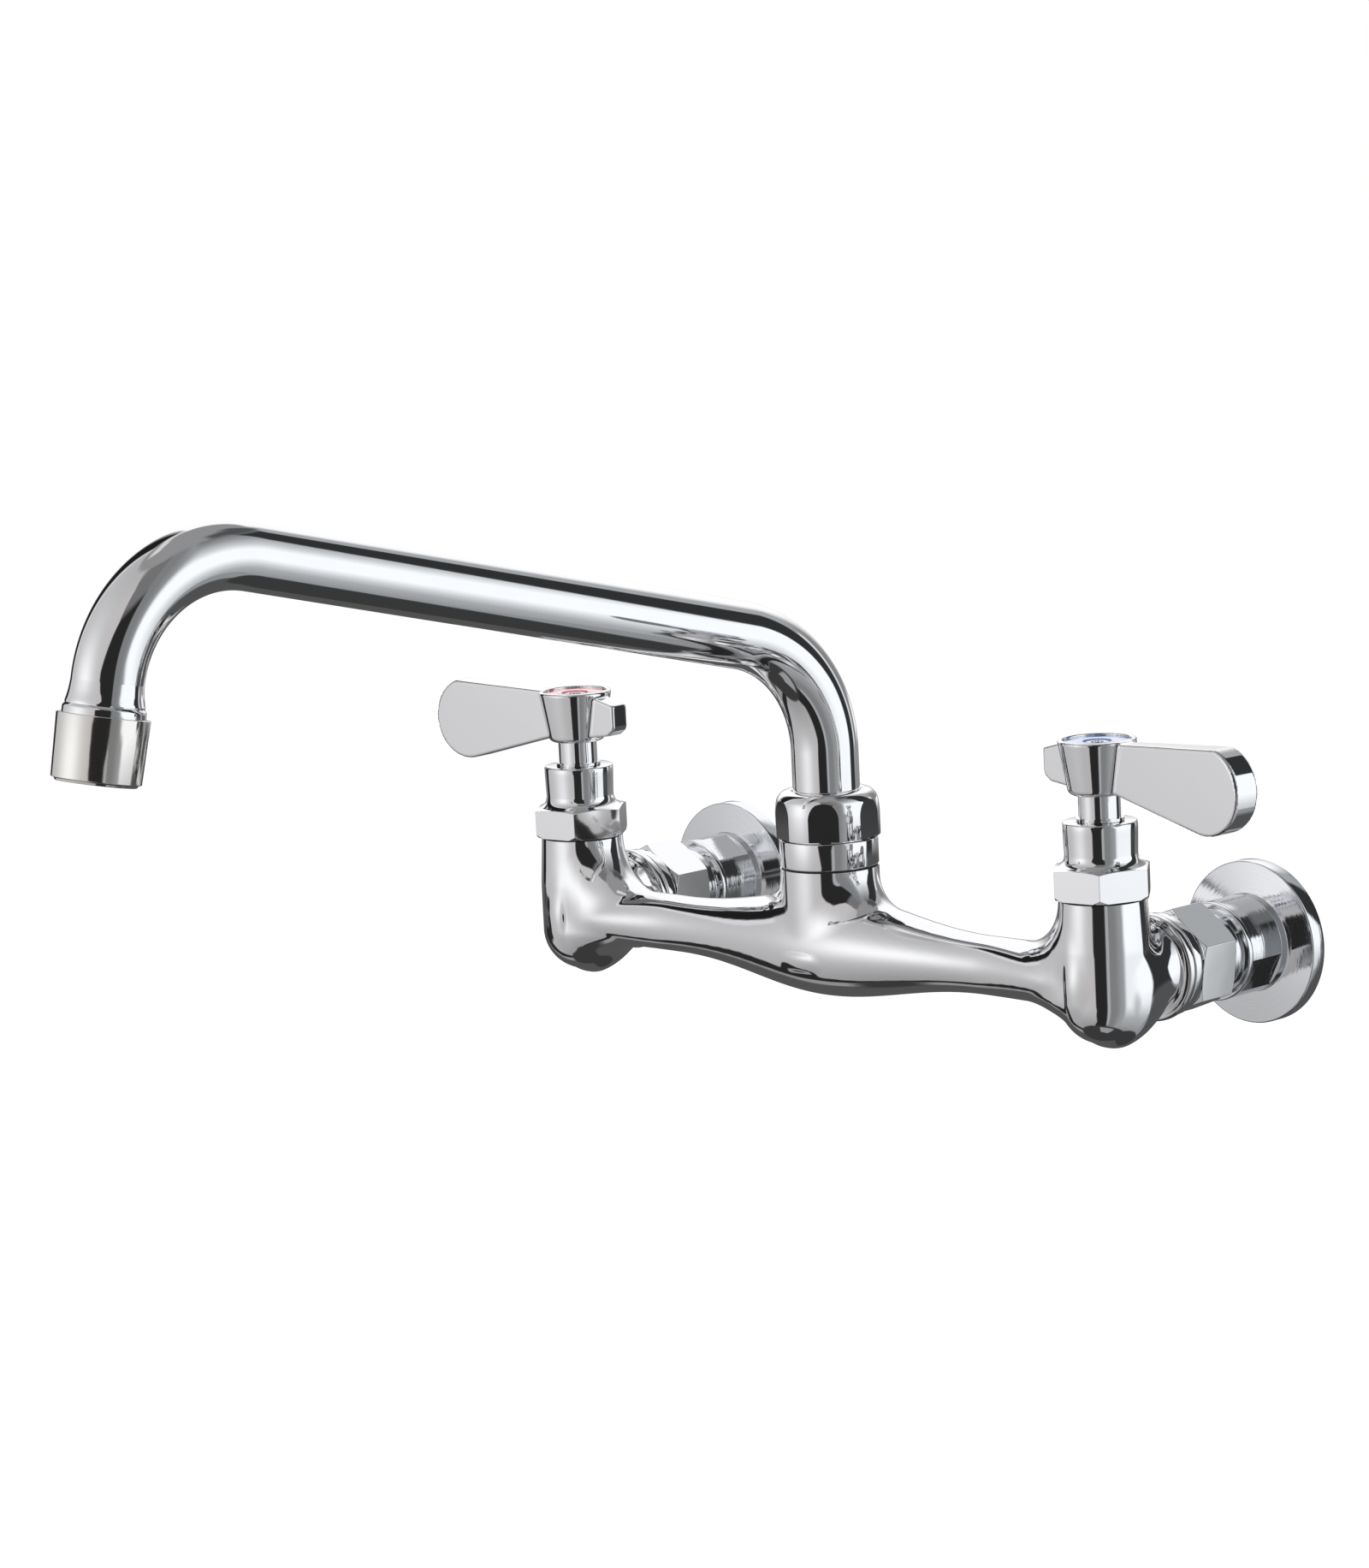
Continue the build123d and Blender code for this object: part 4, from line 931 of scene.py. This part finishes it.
def panel_levels(azimuth, height):
    """Levels of the tent: degrees round the object (0 out from the wall, 90 right) and up."""
    tones = np.full(azimuth.shape, TENT_GREY)

    def paint(share, level):
        nonlocal tones
        tones = tones + share * (level - tones)

    def panel(level, left=-200, right=200, low=-120, high=120, side_blur=1.5, blur=1.5):
        """Hang a panel. Blur is how soft its lower and upper edge are."""
        sides = between(left, right, azimuth, side_blur)
        paint(sides * between(low, high, height, blur), level)

    # dark ceiling on the right, and a lit edge of it on the left
    panel(0.08, left=102, right=174, low=60, high=76, side_blur=6, blur=4)
    arc = 62 + 8 * smooth(-100, -60, azimuth)
    panel(0.66, left=-106, right=-32, low=arc - 3, high=arc + 3, side_blur=5)

    # grey wall on the right with a pale strip at its left end and a dull card over it
    wall = 0.205 + 0.1 * smooth(70, 88, azimuth)
    panel(wall, left=52, right=98, high=64, blur=6)
    panel(0.38, left=52.5, right=59, low=-56, high=1, side_blur=1)
    panel(0.165, left=26, right=60, low=34, high=62)

    # behind on the left a white card, behind on the right a dull one
    edge = -156 - 0.9 * np.clip(height - 10, 0, 22)
    lit = smooth(edge - 12, edge + 12, azimuth) * smooth(-4, 12, height)
    panel(0.22 + 0.76 * lit, right=-104, low=-4, high=64)
    panel(0.22 + 0.16 * smooth(15, 35, height), left=160, low=-6, high=60)

    # left screen, brightest at eye height and along its far edge
    far, near = ramp(LEFT_SCREEN_FAR, height), ramp(LEFT_SCREEN_NEAR, height)
    reach = np.where(azimuth > -20, 20, 28)
    bright = 0.48 * np.exp(-(((azimuth + 20) / reach) ** 2) - ((height - 5) / 22) ** 2)
    rim = 0.14 * between(far, far + 7, azimuth) * smooth(4, 14, height)
    screen = ramp(LEFT_SCREEN_LEVEL, height) + bright + rim
    panel(screen, left=far, right=near, low=-60, high=62)
    # black frame behind it, and the dark gap for the camera
    panel(0.012, left=-99, right=far, low=-10, high=60)
    panel(0.02, left=far - 14, right=far, high=-10, blur=2)
    panel(0.02, left=near, right=ramp(GAP_FAR, height), high=34.5, blur=3.5)

    # right screen and the black strip beside it
    far = ramp(RIGHT_SCREEN_FAR, height)
    near = 93 - 7 * smooth(-4, 2, height)
    sides = smooth(near - 5, near + 5, azimuth) * (1 - smooth(far - 1.5, far + 1.5, azimuth))
    ends = smooth(-63, -59, height) * (1 - smooth(60, 70, height))
    paint(sides * ends, ramp(RIGHT_SCREEN_LEVEL, height))
    panel(0.03, left=far, right=163, low=-12, high=60)
    # bright edges of the cards behind
    panel(0.76, left=165, right=171.5, low=-6, high=24)
    panel(0.9, left=-175, right=-157, low=-5, high=1)

    # dark floor, behind and under the object, with a lit patch by the grey wall
    behind = smooth(141, 148, azimuth) + 1 - smooth(-98, -92, azimuth)
    paint(behind * (1 - smooth(-12, -7, height)), 0.08)
    panel(0.04, high=-60.5, blur=1.5)
    panel(0.3, left=28, right=90, low=-80, high=-65, side_blur=4)
    return tones


def bare_material(name):
    """Material with no shader yet, and its output."""
    material = bpy.data.materials.new(name)
    material.use_nodes = True
    tree = material.node_tree
    tree.nodes.clear()
    return material, tree, tree.nodes.new("ShaderNodeOutputMaterial").inputs["Surface"]


def tent():
    """Light tent of white, grey and black panels that only the polished metal sees."""
    bm = bmesh.new()
    bmesh.ops.create_uvsphere(
        bm, u_segments=TENT_ROUND, v_segments=TENT_HIGH, radius=TENT_REACH)
    shade = bm.verts.layers.float_color.new("shade")
    place = np.array([vert.co[:] for vert in bm.verts]) / TENT_REACH
    azimuth = np.degrees(np.arctan2(place[:, 0], -place[:, 1]))
    height = np.degrees(np.arcsin(np.clip(place[:, 2], -1.0, 1.0)))
    levels = panel_levels(azimuth, height) / PLATE
    cool = COOL * (between(46, 200, azimuth, 10) - between(5, 46, azimuth, 10))
    for vert, level, blue in zip(bm.verts, levels, cool):
        vert[shade] = (level * (0.99 - blue), level * 0.992, level * (1.0 + blue / 2), 1.0)
    bmesh.ops.translate(bm, vec=STUDIO, verts=bm.verts)
    obj = placed(bm, "tent")
    material, tree, surface = bare_material("tent panels")
    panels = tree.nodes.new("ShaderNodeAttribute")
    panels.attribute_name = "shade"
    glow = tree.nodes.new("ShaderNodeEmission")
    wire(tree, panels.outputs["Color"], glow.inputs["Color"])
    wire(tree, glow.outputs["Emission"], surface)
    obj.data.materials.append(material)
    obj.visible_camera = False
    obj.visible_diffuse = False
    obj.visible_shadow = False
    obj.visible_transmission = False


tent()

# ---------------------------------------------------------------- floor, lamp and background
FLOOR_Z = -0.16
FLOOR_REACH = 6.0
FLOOR_GREY = 0.28
FLOOR_GLOW = 0.86
SOFT_LIGHT = 0.5  # of the background on the object
WHITE = (1.0, 1.0, 1.0, 1.0)


def floor():
    """Pale floor that keeps the object's shadow."""
    bm = bmesh.new()
    bmesh.ops.create_grid(bm, x_segments=2, y_segments=2, size=FLOOR_REACH)
    bmesh.ops.translate(bm, vec=(0, 0, FLOOR_Z), verts=bm.verts)
    obj = placed(bm, "floor")
    material, tree, surface = bare_material("pale floor")
    matt = tree.nodes.new("ShaderNodeBsdfDiffuse")
    matt.inputs["Color"].default_value = (FLOOR_GREY, FLOOR_GREY, FLOOR_GREY, 1.0)
    glow = tree.nodes.new("ShaderNodeEmission")
    glow.inputs["Strength"].default_value = FLOOR_GLOW
    both = tree.nodes.new("ShaderNodeAddShader")
    wire(tree, matt.outputs["BSDF"], both.inputs[0])
    wire(tree, glow.outputs["Emission"], both.inputs[1])
    wire(tree, both.outputs["Shader"], surface)
    obj.data.materials.append(material)
    obj.visible_glossy = False


floor()


def lamp(name, place, aim, size, power):
    """Soft round lamp that no metal and no camera sees."""
    data = bpy.data.lights.new(name, "AREA")
    data.shape = "DISK"
    data.size = size
    data.energy = power
    obj = bpy.data.objects.new(name, data)
    scene.collection.objects.link(obj)
    obj.location = place
    obj.rotation_mode = "QUATERNION"
    obj.rotation_quaternion = (Vector(aim) - Vector(place)).to_track_quat("-Z", "Y")
    obj.visible_glossy = False
    obj.visible_camera = False


lamp("overhead lamp", place=(0.3, -0.6, 1.6), aim=(0, -0.1, 0), size=1.2, power=22.0)

world = bpy.data.worlds.new("studio")
scene.world = world
world.use_nodes = True
sky = world.node_tree
sky.nodes.clear()


def backdrop(strength):
    node = sky.nodes.new("ShaderNodeBackground")
    node.inputs["Color"].default_value = WHITE
    node.inputs["Strength"].default_value = strength
    return node.outputs["Background"]


rays = sky.nodes.new("ShaderNodeLightPath").outputs
looked_at = maths(
    sky, "MAXIMUM", maths(sky, "MAXIMUM", rays["Is Camera Ray"], rays["Is Glossy Ray"]),
    rays["Is Transmission Ray"])
either = sky.nodes.new("ShaderNodeMixShader")
wire(sky, looked_at, either.inputs["Fac"])
wire(sky, backdrop(SOFT_LIGHT), either.inputs[1])
wire(sky, backdrop(1.0), either.inputs[2])
wire(sky, either.outputs["Shader"], sky.nodes.new("ShaderNodeOutputWorld").inputs["Surface"])
